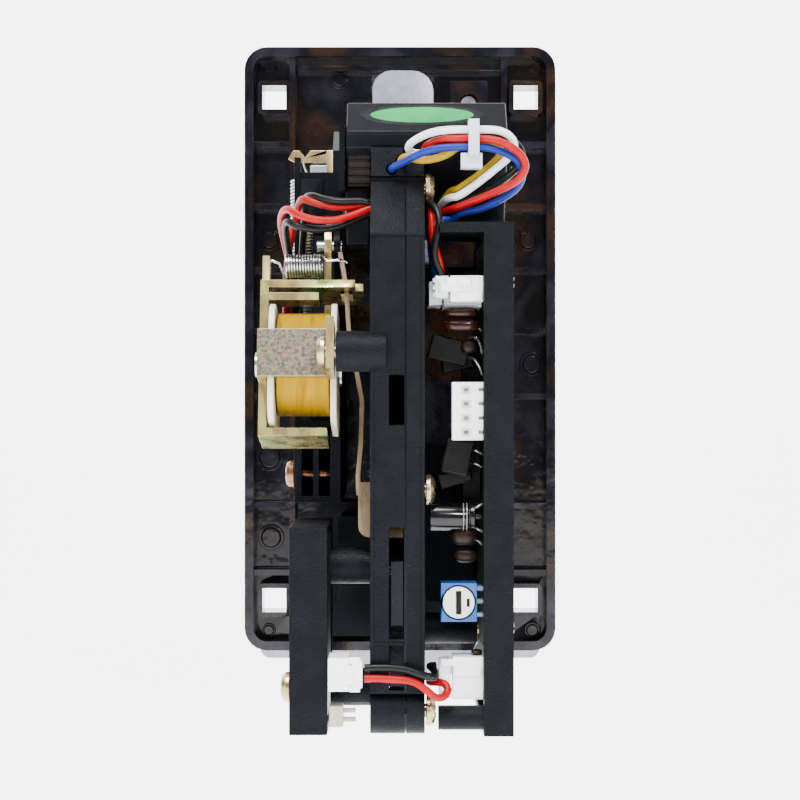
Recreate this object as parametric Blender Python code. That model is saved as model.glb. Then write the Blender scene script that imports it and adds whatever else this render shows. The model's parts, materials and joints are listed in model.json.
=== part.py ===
"""Comparator coin acceptor: a face plate, a two-part coin track, a sensing box, a gate
solenoid, a coin return linkage, a control board and an exit sensor.

Every length below is in millimetres and every object is made in metres. X runs across the
face plate, +Y out of its public face and +Z up. The origin is the centre of the face plate,
in the plane of its rear rim, so the mechanism lies on the -Y side. "Depth" is the distance
behind that plane, so depth 20 is Y = -20. A side profile is a list of (depth, z) corners.
"""

import math

import bmesh
import bpy
from mathutils import Matrix, Vector

MM = 0.001
GAP = 0.3

# Face plate
PLATE_HALF_X = 32.75
PLATE_HALF_Z = 63.55
PLATE_THICK = 8.0
PLATE_WALL = 2.6
PLATE_RIM = 1.9
PLATE_CORNER = 4.7
BOLT_X = 26.5
BOLT_Z = 53.0
BOLT_HOLE = 5.0
BOLT_BOSS = 7.0
RIB_THICK = 1.2
RIB_REACH = 0.7
SIDE_RIB_X = (-22.7, 21.9)
CROSS_RIB_Z = (43.1, 30.0, 16.6, 3.7, -10.0, -33.1, -47.2)

# Coin track
TRACK_LEFT = -5.3
TRACK_RIGHT = 4.4
PARTING = 1.0
CHANNEL_LEFT = -1.95
CHANNEL_RIGHT = 1.15
TRACK_REAR = 62.0
TRACK_FRONT = 1.5

TRACK_OUTLINE = [
    (TRACK_FRONT, -60.2),
    (TRACK_FRONT, 50.0),
    (15.9, 46.5),
    (15.9, 23.1),
    (38.2, 23.1),
    (48.3, 35.4),
    (50.0, 35.4),
    (50.7, 30.1),
    (49.9, 29.9),
    (49.9, 28.9),
    (51.6, 28.9),
    (TRACK_REAR, 18.8),
    (TRACK_REAR, -62.6),
    (52.0, -62.6),
    (28.0, -62.6),
    (28.0, -66.6),
    (25.8, -66.6),
    (24.0, -62.6),
]
# The coin falls along the drop path and, when refused, runs out along the return path
DROP_PATH = [
    (-1, 20.5),
    (16, 15.5),
    (31, 9),
    (33.6, 0),
    (33.6, -40),
    (28, -68),
    (59.6, -68),
    (59.6, 12),
    (47, 22.5),
    (44.5, 40),
    (16, 44.6),
    (-1, 48.0),
]
RETURN_PATH = [(34.6, -12), (34.6, -40.2), (-1, -58.2), (-1, -32.5)]
# Bosses, holes and pivots as (depth, z)
BARREL = (57.9, -66.2)
UPPER_SCREW = (48.3, 28.1)
TRACK_SCREW = (54.0, -27.0)
ARM_BOSS = (60.4, -2.2)
LIGHT_TUBE = (52.0, -40.9)
SENSOR_BOSS = (52.0, -62.9)
WIRE_RECESS = {"y": (-53.0, -47.6), "z": (33.3, 37.0)}
# Holes in the top of the track for the two lowest sensing wires, as (x, z)
BLUE_HOLE = (-1.5, 31.4)
YELLOW_HOLE = (0.2, 32.9)
BOARD_POSTS = ((30.0, 12.0), (30.0, -55.0))
FLAP_PIVOT = (59.0, -41.0)
TUNNEL = (50.8, 24.2)

# Return button, coin return opening and its flap
BUTTON_X = -13.9
BUTTON_Z = 33.0
CUP_TOP = -33.2
CUP_BOTTOM = -59.2
FLAP_Y = 15.2
FLAP_Z = -35.6

# Sensing box
BOX_LEFT = -9.9
BOX_RIGHT = 19.8
BOX_PROFILE = [(16.3, 23.5), (38, 23.5), (48, 35.7), (48, 38.7), (41.3, 45), (16.3, 45)]
SAMPLE_CENTRE = (29.8, 29.4)
CLAMP_STEM = (36.0, 31.0)

# Coin return linkage
LEVER_LEFT = -14.4
LEVER_RIGHT = -13.0
LEVER_PIVOT = (34.0, 18.6)
SPRING_AXIS = (-19.4, -24.0)
RETURN_SPRING_Z = (-6.0, 33.0)
BRACKET_SCREW = (28.0, -25.2)

# Board side
COVER_LEFT = 14.9
COVER_RIGHT = 20.2
COVER_REAR = 60.0
COVER_TOP = 20.8
COVER_BOTTOM = -70.5
BOARD_FACE = 15.2
COVER_WALL = 1.7
TRIMMER_X = 10.5
TRIMMER_Z = -47.05

# Exit sensor side
SENSOR_LEFT = -19.7
SENSOR_RIGHT = -12.9
SENSOR_TOP = -33.4
SENSOR_BOTTOM = -70.3

# Solenoid, built upright about its coil's centre and then tilted about X
SOLENOID_CENTRE = (-18.5, -46.0, -4.3)
SOLENOID_TILT = -13.0
COIL_RADIUS = 9.55
SHEET = 1.4
ARM_HEIGHT = 13.9
GATE_PIVOT = (8.5, 0.0, 13.9)

WIRE_DIAMETER = 1.4

MATERIALS = {}


# ---------------------------------------------------------------- materials


def material(name, colour, roughness, metallic=0.0):
    """A Principled material, made once for each name."""
    if name in MATERIALS:
        return MATERIALS[name]
    made = bpy.data.materials.new(name)
    made.use_nodes = True
    shader = made.node_tree.nodes["Principled BSDF"]
    shader.inputs["Base Color"].default_value = (*colour, 1.0)
    shader.inputs["Roughness"].default_value = roughness
    shader.inputs["Metallic"].default_value = metallic
    made.diffuse_color = (*colour, 1.0)
    MATERIALS[name] = made
    return made


def gloss_black():
    return material("gloss_black", (0.018, 0.018, 0.021), 0.15)


def satin_black():
    return material("satin_black", (0.030, 0.031, 0.036), 0.42)


def textured_black():
    return material("textured_black", (0.026, 0.027, 0.031), 0.6)


def silver_paint():
    return material("silver_paint", (0.62, 0.62, 0.66), 0.3, 0.4)


def yellow_zinc():
    return material("yellow_zinc", (0.62, 0.60, 0.38), 0.35, 0.9)


def brass():
    return material("brass", (0.60, 0.50, 0.28), 0.4, 0.9)


def spring_steel():
    return material("spring_steel", (0.60, 0.60, 0.60), 0.25, 1.0)


def screw_zinc():
    return material("screw_zinc", (0.62, 0.52, 0.36), 0.3, 1.0)


def white_nylon():
    return material("white_nylon", (0.80, 0.81, 0.82), 0.4)


def bobbin_nylon():
    return material("bobbin_nylon", (0.66, 0.63, 0.54), 0.5)


def yellow_tape():
    return material("yellow_tape", (0.80, 0.50, 0.01), 0.35)


def board_laminate():
    return material("board_laminate", (0.10, 0.22, 0.09), 0.5)


# ---------------------------------------------------------------- shapes


def prism(outline, axis, low, high):
    """A closed outline pushed along an axis from low to high. The outline's two numbers are
    the other two axes, in X, Y, Z order."""
    at = {
        "X": lambda a, b, t: (t, a, b),
        "Y": lambda a, b, t: (a, t, b),
        "Z": lambda a, b, t: (a, b, t),
    }[axis]
    bm = bmesh.new()
    foot = [bm.verts.new(at(a, b, low)) for a, b in outline]
    face = bm.faces.new(foot)
    grown = bmesh.ops.extrude_face_region(bm, geom=[face])["geom"]
    moved = [v for v in grown if isinstance(v, bmesh.types.BMVert)]
    bmesh.ops.translate(bm, verts=moved, vec=Vector(at(0, 0, high - low)))
    bmesh.ops.recalc_face_normals(bm, faces=bm.faces)
    return bm


def block(x, y, z):
    """A box between three (low, high) pairs."""
    return prism([(x[0], y[0]), (x[1], y[0]), (x[1], y[1]), (x[0], y[1])], "Z", z[0], z[1])


def side_prism(profile, low, high):
    """A side profile of (depth, z) corners pushed along X."""
    return prism([(-depth, z) for depth, z in profile], "X", low, high)


def arc(centre, radius, start, end, steps):
    """Points along a circle, angles in degrees."""
    points = []
    for step in range(steps + 1):
        angle = math.radians(start + (end - start) * step / steps)
        points.append((centre[0] + radius * math.cos(angle), centre[1] + radius * math.sin(angle)))
    return points


def circle(centre, radius, sides=24):
    return arc(centre, radius, 0, 360 * (sides - 1) / sides, sides - 1)


def rounded(half_a, half_b, radius, centre=(0, 0), steps=5):
    """A rectangle with round corners."""
    points = []
    for sign_a, sign_b, start in ((1, 1, 0), (-1, 1, 90), (-1, -1, 180), (1, -1, 270)):
        corner = (
            centre[0] + sign_a * (half_a - radius),
            centre[1] + sign_b * (half_b - radius),
        )
        points += arc(corner, radius, start, start + 90, steps)
    return points


def rod(axis, centre, radius, low, high, sides=24):
    """A round bar along an axis. The centre's two numbers are the other two axes."""
    return prism(circle(centre, radius, sides), axis, low, high)


def side_rod(depth, z, radius, low, high, sides=24):
    """A round bar along X at a depth and a height."""
    return rod("X", (-depth, z), radius, low, high, sides)


def moved(bm, x=0, y=0, z=0):
    bmesh.ops.translate(bm, verts=bm.verts, vec=Vector((x, y, z)))
    return bm


def new_object(name, bm, pivot=(0, 0, 0)):
    """An object whose mesh is in metres about a pivot given in millimetres."""
    bmesh.ops.translate(bm, verts=bm.verts, vec=-Vector(pivot))
    bmesh.ops.scale(bm, verts=bm.verts, vec=(MM, MM, MM))
    mesh = bpy.data.meshes.new(name)
    bm.to_mesh(mesh)
    bm.free()
    made = bpy.data.objects.new(name, mesh)
    made.location = Vector(pivot) * MM
    bpy.context.scene.collection.objects.link(made)
    return made


def part(name, bm, finish, pivot=(0, 0, 0)):
    made = new_object(name, bm, pivot)
    made.data.materials.append(finish)
    made.data.shade_smooth()
    made.data.set_sharp_from_angle(angle=math.radians(30))
    return made


def shape(target, operation, bm):
    """Adds or takes away one shape from a part."""
    tool = new_object(target.name + "_tool", bm)
    tool.hide_render = True
    tool.display_type = "WIRE"
    modifier = target.modifiers.new(operation.title(), "BOOLEAN")
    modifier.operation = operation
    modifier.object = tool
    modifier.solver = "EXACT"
    return tool


def fuse(target, *shapes):
    for bm in shapes:
        shape(target, "UNION", bm)


def cut(target, *shapes):
    for bm in shapes:
        shape(target, "DIFFERENCE", bm)


def tilt(*objects):
    """Leans finished solenoid objects, and their tools, back about the coil's axis."""
    lean = (
        Matrix.Translation(Vector(SOLENOID_CENTRE) * MM)
        @ Matrix.Rotation(math.radians(SOLENOID_TILT), 4, "X")
    )
    for made in objects:
        for modifier in made.modifiers:
            if modifier.type == "BOOLEAN":
                tool = modifier.object
                tool.matrix_world = lean @ Matrix.Translation(tool.location)
        made.matrix_world = lean @ Matrix.Translation(made.location)


def screw(name, tip, head_side, depth, z, radius=2.7, height=1.7, shank=1.2):
    """A pan-head screw along X. head_side is the X of the head's seat and tip the shank's end."""
    away = 1 if head_side > tip else -1
    dome = [
        (0, tip),
        (shank, tip + away * 0.4),
        (shank, head_side),
        (radius, head_side),
        (radius, head_side + away * height * 0.45),
        (radius * 0.8, head_side + away * height * 0.85),
        (radius * 0.4, head_side + away * height),
        (0, head_side + away * height),
    ]
    bm = turned_solid(dome)
    made = part(name, moved(bm, 0, -depth, z), screw_zinc())
    seat = head_side + away * height
    cross = block((seat - 0.7, seat + 0.7), (-depth - 0.3, -depth + 0.3), (z - 1.6, z + 1.6))
    bar = block((seat - 0.7, seat + 0.7), (-depth - 1.6, -depth + 1.6), (z - 0.3, z + 0.3))
    cut(made, cross, bar)
    return made


def turned_solid(profile, sides=24):
    """A profile of (radius, x) corners from axis to axis, spun about X into a solid."""
    bm = bmesh.new()
    rings = []
    for radius, x in profile:
        if radius == 0:
            rings.append([bm.verts.new((x, 0, 0))])
            continue
        ring = []
        for step in range(sides):
            angle = 2 * math.pi * step / sides
            ring.append(bm.verts.new((x, radius * math.cos(angle), radius * math.sin(angle))))
        rings.append(ring)
    for first, second in zip(rings, rings[1:]):
        for step in range(sides):
            after = (step + 1) % sides
            corners = [first[step % len(first)], first[after % len(first)]]
            corners += [second[after % len(second)], second[step % len(second)]]
            bm.faces.new(list(dict.fromkeys(corners)))
    bmesh.ops.recalc_face_normals(bm, faces=bm.faces)
    return bm


# ---------------------------------------------------------------- front


def make_face_plate():
    outer = rounded(PLATE_HALF_X, PLATE_HALF_Z, PLATE_CORNER, steps=6)
    plate = part("face_plate", prism(outer, "Y", 0, PLATE_THICK), gloss_black())
    wall_face = PLATE_THICK - PLATE_WALL
    inner = rounded(
        PLATE_HALF_X - PLATE_RIM, PLATE_HALF_Z - PLATE_RIM, PLATE_CORNER - PLATE_RIM, steps=5
    )
    cut(plate, prism(inner, "Y", -1, wall_face))
    ribs = []
    sunk = wall_face + 0.5
    for x in SIDE_RIB_X:
        half = RIB_THICK / 2
        height = PLATE_HALF_Z - PLATE_RIM / 2
        ribs.append(block((x - half, x + half), (RIB_REACH, sunk), (-height, height)))
    for z in CROSS_RIB_Z:
        half = RIB_THICK / 2
        span = PLATE_HALF_X - PLATE_RIM / 2
        ribs.append(block((-span, SIDE_RIB_X[0]), (RIB_REACH, sunk), (z - half, z + half)))
        ribs.append(block((SIDE_RIB_X[1], span), (RIB_REACH, sunk), (z - half, z + half)))
    fuse(plate, *ribs)
    for x in (-BOLT_X, BOLT_X):
        for z in (-BOLT_Z, BOLT_Z):
            boss = rounded(BOLT_BOSS / 2, BOLT_BOSS / 2, 0.9, (x, z), 3)
            fuse(plate, prism(boss, "Y", RIB_REACH - 0.4, sunk))
    # Boss behind the entry bezel's screw
    fuse(plate, block((10.7, 18.4), (1.2, sunk), (50.3, 56.6)))
    fuse(plate, block((-21.9, 21.3), (2.2, sunk), (58.9, 60.2)))
    for x in (-BOLT_X, BOLT_X):
        for z in (-BOLT_Z, BOLT_Z):
            half = BOLT_HOLE / 2
            cut(plate, block((x - half, x + half), (-2, 12), (z - half, z + half)))
    cut(plate, rod("Y", (14.5, 52.0), 1.9, -1, 4.0))
    cut(plate, rod("Y", (14.5, 52.0), 1.35, -1, 12, 16))
    # Openings for the coin slot, the return button and the returned coins
    cut(plate, block((-6.1, 7.3), (-2, 12), (18.0, 58.6)))
    cut(plate, prism(rounded(4.3, 5.3, 1.2, (BUTTON_X, BUTTON_Z), 3), "Y", -2, 12))
    cut(plate, block((-13.5, 13.5), (-2, 12), (CUP_BOTTOM, CUP_TOP)))
    return plate


def make_coin_entry_bezel():
    """A silver casting: a plate on the front, a raised slot frame and a chute to the rear."""
    front = PLATE_THICK + GAP
    flange = rounded(13.4, 22.0, 2.5, (5.1, 39.2), 4)
    bezel = part("coin_entry_bezel", prism(flange, "Y", front, front + 2.8), silver_paint())
    frame = rounded(5.6, 17.6, 2.4, (0.0, 35.2), 4)
    fuse(bezel, prism(frame, "Y", front + 2.0, front + 7.5))
    chute = [(-5.8, 18.3), (7.0, 18.3), (7.0, 54.6)]
    chute += arc((2.6, 54.0), 4.4, 8, 90, 5)
    chute += arc((-1.8, 54.4), 4.0, 90, 172, 5)
    fuse(bezel, prism(chute, "Y", -0.9, front + 1.0))
    cut(bezel, block((CHANNEL_LEFT, CHANNEL_RIGHT), (-3, 20), (20.6, 48.0)))
    cut(bezel, rod("Y", (14.5, 52.0), 1.35, front - 1, front + 2.0, 16))
    return bezel


def make_bezel_screw():
    profile = [(0, 0), (1.7, 0), (1.7, 1.2), (1.05, 1.2), (1.05, 5.6), (0, 6.0)]
    bm = turned_solid(profile, 16)
    bmesh.ops.rotate(bm, verts=bm.verts, matrix=Matrix.Rotation(math.radians(90), 3, "Z"))
    return part("bezel_screw", moved(bm, 14.5, 4.0 - 1.2 - 0.3, 52.0), screw_zinc())


def make_return_button():
    """A square push button whose flat blade reaches back to the return lever."""
    front = PLATE_THICK
    button = part(
        "return_button",
        prism(rounded(3.9, 4.9, 1.0, (BUTTON_X, BUTTON_Z), 3), "Y", 3.4, front + 5.5),
        silver_paint(),
        (BUTTON_X, 0, BUTTON_Z),
    )
    fuse(
        button,
        block((LEVER_LEFT, LEVER_RIGHT), (-21.6, 4.0), (BUTTON_Z - 1.8, BUTTON_Z + 1.8)),
        block((BUTTON_X - 5.2, BUTTON_X + 5.2), (1.9, 3.6), (BUTTON_Z - 6.0, BUTTON_Z + 6.0)),
    )
    return button


def make_return_cup():
    """A silver bezel over the lower front, with a scoop that catches returned coins."""
    front = PLATE_THICK + GAP
    face = rounded(30.0, 19.8, 2.0, (0, -46.5), 4)
    cup = part("return_cup", prism(face, "Y", front, front + 2.4), silver_paint())
    fuse(cup, block((-15.2, 15.2), (front, front + 11.5), (-69.8, -31.2)))
    cut(cup, block((-13.2, 13.2), (front - 2, front + 9.8), (-58.9, CUP_TOP)))
    cut(cup, block((-13.2, 13.2), (front + 2.4, front + 9.8), (-68.0, -58.0)))
    cut(cup, block((-13.2, 13.2), (front + 5, front + 14), (-50.0, -33.2)))
    for x in (-BOLT_X, BOLT_X):
        cut(cup, block((x - 3.2, x + 3.2), (front - 1, front + 4), (-BOLT_Z - 3.2, -BOLT_Z + 3.2)))
    cut(cup, side_rod(-FLAP_Y, FLAP_Z, 1.1, -14.5, 14.5, 16))
    return cup


def make_return_flap():
    flap = part(
        "return_flap",
        block((-12.8, 12.8), (FLAP_Y - 0.8, FLAP_Y + 0.8), (-49.6, FLAP_Z)),
        textured_black(),
        (0, FLAP_Y, FLAP_Z),
    )
    fuse(flap, side_rod(-FLAP_Y, FLAP_Z, 0.8, -14.2, 14.2, 16))
    return flap


# ---------------------------------------------------------------- coin track


def make_body_left_half():
    left = part(
        "body_left_half",
        side_prism(TRACK_OUTLINE, TRACK_LEFT, PARTING - GAP / 2),
        textured_black(),
    )
    cut(left, side_prism(DROP_PATH, CHANNEL_LEFT, 3), side_prism(RETURN_PATH, CHANNEL_LEFT, 3))
    for low, high in ((-15.2, -6.4), (-53.0, -33.3), (-62.0, -54.2)):
        cut(left, block((CHANNEL_LEFT, 3), (-64, -58), (low, high)))
    fuse(
        left,
        side_rod(*BARREL, 4.05, TRACK_LEFT, PARTING - GAP / 2),
        side_rod(*ARM_BOSS, 3.63, -11.3, -2.5),
        side_rod(*LIGHT_TUBE, 3.3, -12.55, -4.5),
        side_rod(*SENSOR_BOSS, 3.4, -12.55, -4.5),
    )
    # Slot for the gate, and the recess through which the sensing wires leave
    cut(left, block((-8, -1), (-58.2, -51.4), (-38.0, -24.0)))
    cut(left, block((0.6, 3), WIRE_RECESS["y"], WIRE_RECESS["z"]))
    cut(left, rod("Y", BLUE_HOLE, 1.1, -53, -48.6, 16), rod("Y", YELLOW_HOLE, 1.1, -53, -48.6, 16))
    cut(left, side_rod(*ARM_BOSS, 1.5, -12, -5.2, 16))
    cut(left, side_rod(*LIGHT_TUBE, 1.5, -14, 0, 16))
    cut(left, side_rod(*SENSOR_BOSS, 1.5, -14, -6.4, 16))
    cut(left, side_rod(*FLAP_PIVOT, 1.2, -4.2, 0, 16), side_rod(*TUNNEL, 1.9, -9, 3, 16))
    for depth, z in (BARREL, UPPER_SCREW):
        cut(left, side_rod(depth, z, 1.5, -3.9, 3, 16))
    return left


def make_body_right_half():
    right = part(
        "body_right_half",
        side_prism(TRACK_OUTLINE, PARTING + GAP / 2, TRACK_RIGHT),
        textured_black(),
    )
    fuse(right, side_rod(*BARREL, 4.05, PARTING + GAP / 2, TRACK_RIGHT))
    for depth, z in BOARD_POSTS:
        fuse(right, side_rod(depth, z, 3.0, TRACK_RIGHT - 0.8, BOARD_FACE - GAP, 20))
        cut(right, side_rod(depth, z, 1.4, 9.0, 18, 16))
    cut(right, block((0, 6), WIRE_RECESS["y"], WIRE_RECESS["z"]), side_rod(*TUNNEL, 1.9, 0, 8, 16))
    cut(right, rod("Y", YELLOW_HOLE, 1.1, -53, -48.6, 16))
    for depth, z in (BARREL, UPPER_SCREW, TRACK_SCREW):
        cut(right, side_rod(depth, z, 1.5, -1, 7, 16))
    return right


def make_pullback_flap():
    """A small hanging latch in the accept window: a coin pushes past it and can't come back."""
    profile = [
        (61.3, -39.4),
        (61.3, -50.6),
        (60.2, -52.0),
        (54.6, -49.6),
        (56.9, -44.4),
        (57.5, -40.0),
        (58.5, -39.0),
    ]
    flap = part(
        "pullback_flap",
        side_prism(profile, -1.6, 0.55),
        textured_black(),
        (0, -FLAP_PIVOT[0], FLAP_PIVOT[1]),
    )
    fuse(flap, side_rod(*FLAP_PIVOT, 0.9, -3.8, -1.4, 16))
    return flap


def make_return_chute():
    """A funnel in the tray of the plate, with a block on each side of the coin track."""
    outer = rounded(15.2, 14.1, 1.5, (0, -46.3), 3)
    chute = part("return_chute", prism(outer, "Y", -0.9, 4.9), satin_black())
    left = rounded(3.4, 7.0, 1.2, (-9.1, -41.0), 3)
    right = rounded(4.8, 15.2, 1.2, (9.7, -35.4), 3)
    fuse(chute, prism(left, "Y", -20.0, 2), prism(right, "Y", -24.0, 2))
    cut(chute, block((-13.2, 13.2), (2.0, 8), (-59.0, -33.4)))
    cut(chute, block((-5.0, 4.1), (-3, 8), (-59.0, -33.4)))
    return chute


# ---------------------------------------------------------------- sensing box


def make_comparator_housing():
    box = part("comparator_housing", side_prism(BOX_PROFILE, BOX_LEFT, BOX_RIGHT), satin_black())
    fuse(box, block((BOX_LEFT, -5.7), (-45.5, -16.3), (18.0, 28.6)))
    fuse(box, block((4.8, BOX_RIGHT), (-38.0, -16.3), (21.4, 26.0)))
    slot = [(10, 20), (36, 20), (46.2, 33.2), (46.2, 37.5), (40.5, 43), (10, 43)]
    cut(box, side_prism(slot, CHANNEL_LEFT - 0.2, CHANNEL_RIGHT + 0.2))
    depth, z = SAMPLE_CENTRE
    pocket = arc((depth, z), 10.6, 180, 360, 16) + [(depth + 10.6, 50), (depth - 10.6, 50)]
    cut(box, side_prism(pocket, -9.0, -6.3))
    cut(box, block((5.4, 18.4), (-36.6, -18.0), (19.0, 43.3)))
    cut(box, side_rod(CLAMP_STEM[0], CLAMP_STEM[1], 2.0, -12, -8.5, 16))
    return box


def make_sensing_coil():
    coil = part("sensing_coil", side_rod(27.3, 33.0, 8.6, 6.0, 12.5, 28), brass())
    cut(coil, side_rod(27.3, 33.0, 2.5, 5, 14, 16))
    return coil


def make_sample_coin():
    return part("sample_coin", side_rod(*SAMPLE_CENTRE, 10.2, -8.4, -6.6, 32), spring_steel())


def make_sample_clamp():
    """A sprung slide with a finger plate, which presses the sample coin from the left."""
    depth, z = CLAMP_STEM
    clamp = part(
        "sample_clamp",
        block((-11.2, -10.2), (-47.4, -34.2), (27.8, 40.1)),
        satin_black(),
        (-10.2, -depth, z),
    )
    fuse(clamp, side_rod(depth, z, 1.7, -10.6, -8.7, 16))
    finger = [(41.0, 35.0), (47.4, 31.0), (47.4, 35.2), (41.0, 39.6)]
    fuse(clamp, side_prism(finger, -12.4, -11.0))
    return clamp


# ---------------------------------------------------------------- coin return linkage


def make_mechanism_bracket():
    """A moulded frame behind the button: a web on the plate, one deep wall, a cross block."""
    bracket = part(
        "mechanism_bracket", block((-12.6, -11.4), (-33.5, 4.9), (-30.5, 24.0)), satin_black()
    )
    fuse(
        bracket,
        block((-12.6, -11.4), (-33.5, -3.5), (23.0, 35.4)),
        block((-21.2, -11.4), (2.5, 4.9), (-30.5, 24.0)),
        block((-20.3, -19.1), (-33.5, -30.5), (-30.5, 35.8)),
        block((-20.3, -12.0), (-33.0, -30.8), (24.6, 33.0)),
        block((-19.6, -14.8), (-33.3, -30.9), (22.6, 31.6)),
        block((-20.3, -12.0), (-33.5, -8.0), (-30.5, -14.8)),
        block((-20.3, -12.0), (-10.0, 4.0), (-30.5, -24.0)),
        side_rod(*LEVER_PIVOT, 3.0, -12.6, -11.4),
        block((-12.6, -11.4), (-34.0, -30.0), (15.6, 21.6)),
        block((-20.3, -12.0), (-25.2, -22.8), (-14.9, -10.6)),
    )
    for x in (-18.9, -15.6):
        cut(bracket, block((x, x + 2.2), (-36, -12), (-29.2, -15.9)))
    cut(bracket, side_rod(*LEVER_PIVOT, 1.4, -14, -10, 16))
    cut(bracket, side_rod(BRACKET_SCREW[0], BRACKET_SCREW[1], 1.5, -22, -12.2, 16))
    cut(bracket, block((-20.5, -18.3), (-26.0, -22.0), (-12.4, -9.5)))
    return bracket


def make_return_lever():
    """A brass bell crank: the button pushes its upper arm, and a bent strip takes the spring."""
    profile = [(22.0, 38.2), (26.0, 38.2), (27.3, 24.0), (33.0, 21.8), (36.0, 21.2), (36.8, 19.8)]
    profile += [(36.8, 17.4), (36.0, 16.2), (36.0, 2.0), (32.8, 2.0), (32.8, 14.6), (31.0, 16.6)]
    profile += [(22.4, 22.0)]
    lever = part(
        "return_lever",
        side_prism(profile, LEVER_LEFT, LEVER_RIGHT),
        brass(),
        (0, -LEVER_PIVOT[0], LEVER_PIVOT[1]),
    )
    strip = [(-22.0, 36.6), (-20.6, 35.9), (-11.8, 35.9), (-11.8, 38.3), (-17.6, 38.3)]
    strip += [(-18.7, 36.9), (-19.8, 38.3), (-21.0, 38.3)]
    fuse(lever, prism(strip, "Y", -25.0, -23.8))
    cut(lever, side_rod(*LEVER_PIVOT, 1.4, -16, -11, 16))
    return lever


def make_lever_pin():
    return part("lever_pin", side_rod(*LEVER_PIVOT, 1.1, -15.9, -11.0, 16), spring_steel())


def make_return_spring():
    """The long extension spring, as the sleeve that its turns fill."""
    x, y = SPRING_AXIS
    low, high = RETURN_SPRING_Z
    spring = part("return_spring", rod("Z", (x, y), 2.4, low, high, 16), spring_steel(), (x, y, low))
    cut(spring, rod("Z", (x, y), 1.7, low - 1, high + 1, 16))
    return spring


# ---------------------------------------------------------------- solenoid


def make_solenoid_frame():
    """One bent sheet: a back plate, two arms, a strap round the coil and a fixing tab."""
    arm = ARM_HEIGHT
    half = SHEET / 2
    frame = part(
        "solenoid_frame", block((-7.1, -5.6), (-6.0, 6.0), (-arm - half, arm + half)), yellow_zinc()
    )
    upper = [(-7.1, -6.0), (10.2, -6.0), (10.2, -3.4), (11.7, -3.4), (11.7, 3.4), (10.2, 3.4)]
    upper += [(10.2, 6.0), (-7.1, 6.0)]
    fuse(
        frame,
        prism(upper, "Z", arm - half, arm + half),
        block((-7.1, 5.3), (-6.0, 6.0), (-arm - half, -arm + half)),
        block((-7.0, -5.7), (-3.2, 0.4), (arm, arm + 6.2)),
        block((-7.1, -5.6), (-11.3, -5.0), (-4.9, 3.9)),
        block((-7.1, 6.9), (-11.3, -9.95), (-4.9, 3.9)),
        block((5.5, 6.9), (-18.6, -9.95), (-5.2, 4.2)),
        block((-5.8, 3.6), (-6.0, -1.0), (10.8, 12.2)),
    )
    cut(frame, block((7.4, 9.7), (-3.4, 3.4), (arm - 2, arm + 2)))
    cut(frame, rod("X", (-14.5, -1.19), 1.6, 4, 8, 16))
    cut(frame, rod("X", (-1.4, 18.6), 0.6, -9, -4, 10))
    cut(frame, rod("X", (0, 0), 2.0, -9, -4, 16))
    tilt(frame)
    return frame


def make_solenoid_screw():
    return screw("solenoid_screw", -5.8, -13.3, *ARM_BOSS, 2.85, 1.6)


def make_coil_bobbin():
    """A nylon spool with a square flange at each end."""
    bobbin = part("coil_bobbin", rod("X", (0, 0), 4.2, -5.3, 7.1), bobbin_nylon())
    flange = rounded(9.3, 11.45, 5.0, (0, -1.15), 4)
    fuse(bobbin, prism(flange, "X", -5.3, -4.2), prism(flange, "X", 6.0, 7.1))
    cut(bobbin, rod("X", (0, 0), 2.9, -7, 9))
    tilt(bobbin)
    return bobbin


def make_coil_winding():
    winding = part("coil_winding", rod("X", (0, 0), COIL_RADIUS, -3.9, 5.7, 40), yellow_tape())
    cut(winding, rod("X", (0, 0), 4.5, -6, 8, 24))
    tilt(winding)
    return winding


def make_solenoid_core():
    """The iron core: a pole face at the lever and a riveted end outside the back plate."""
    core = part("solenoid_core", rod("X", (0, 0), 2.5, -5.3, 7.6), spring_steel())
    fuse(core, rod("X", (0, 0), 1.7, -7.6, -5.0), rod("X", (0, 0), 2.3, -8.2, -7.4))
    fuse(core, rod("X", (0, 0), 3.9, 7.4, 7.8))
    tilt(core)
    return core


def make_gate_lever():
    """Armature and gate in one strip. It swings in the upper arm, and its lower end turns
    into a tongue that blocks the coin track."""
    path = [(7.35, 20.9), (8.5, 14.4), (9.1, 5.0), (10.25, -0.5), (11.55, -7.5), (11.4, -15.0)]
    path += [(10.9, -21.5), (10.95, -24.0)]
    half = 0.4
    outline = [(x - half, z) for x, z in path] + [(x + half, z) for x, z in reversed(path)]
    lever = part("gate_lever", prism(outline, "Y", -3.0, 3.0), yellow_zinc(), GATE_PIVOT)
    tongue = [(10.95, -22.6), (19.1, -22.6), (19.1, -32.6), (13.2, -32.6)]
    tongue += arc((13.0, -30.6), 2.0, 270, 180, 4)
    fuse(lever, prism(tongue, "Y", -3.0, -1.8))
    cut(lever, rod("Y", (7.55, 19.2), 0.45, -5, 5, 8))
    tilt(lever)
    return lever


def make_gate_spring():
    """The short extension spring from the frame's post to the lever, as a sleeve."""
    spring = part("gate_spring", rod("X", (-1.4, 18.6), 2.4, -3.2, 4.2, 16), spring_steel())
    cut(spring, rod("X", (-1.4, 18.6), 1.7, -5, 6, 16))
    tilt(spring)
    return spring


# ---------------------------------------------------------------- control board


def make_main_board():
    low, high = COVER_BOTTOM + COVER_WALL + 4.6, COVER_TOP - COVER_WALL - GAP
    board = part(
        "main_board",
        block((BOARD_FACE, BOARD_FACE + 1.6), (-COVER_REAR + 2.3, -16.3), (low, high)),
        board_laminate(),
    )
    for depth, z in BOARD_POSTS:
        cut(board, side_rod(depth, z, 1.5, 14, 18, 16))
    return board


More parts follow.
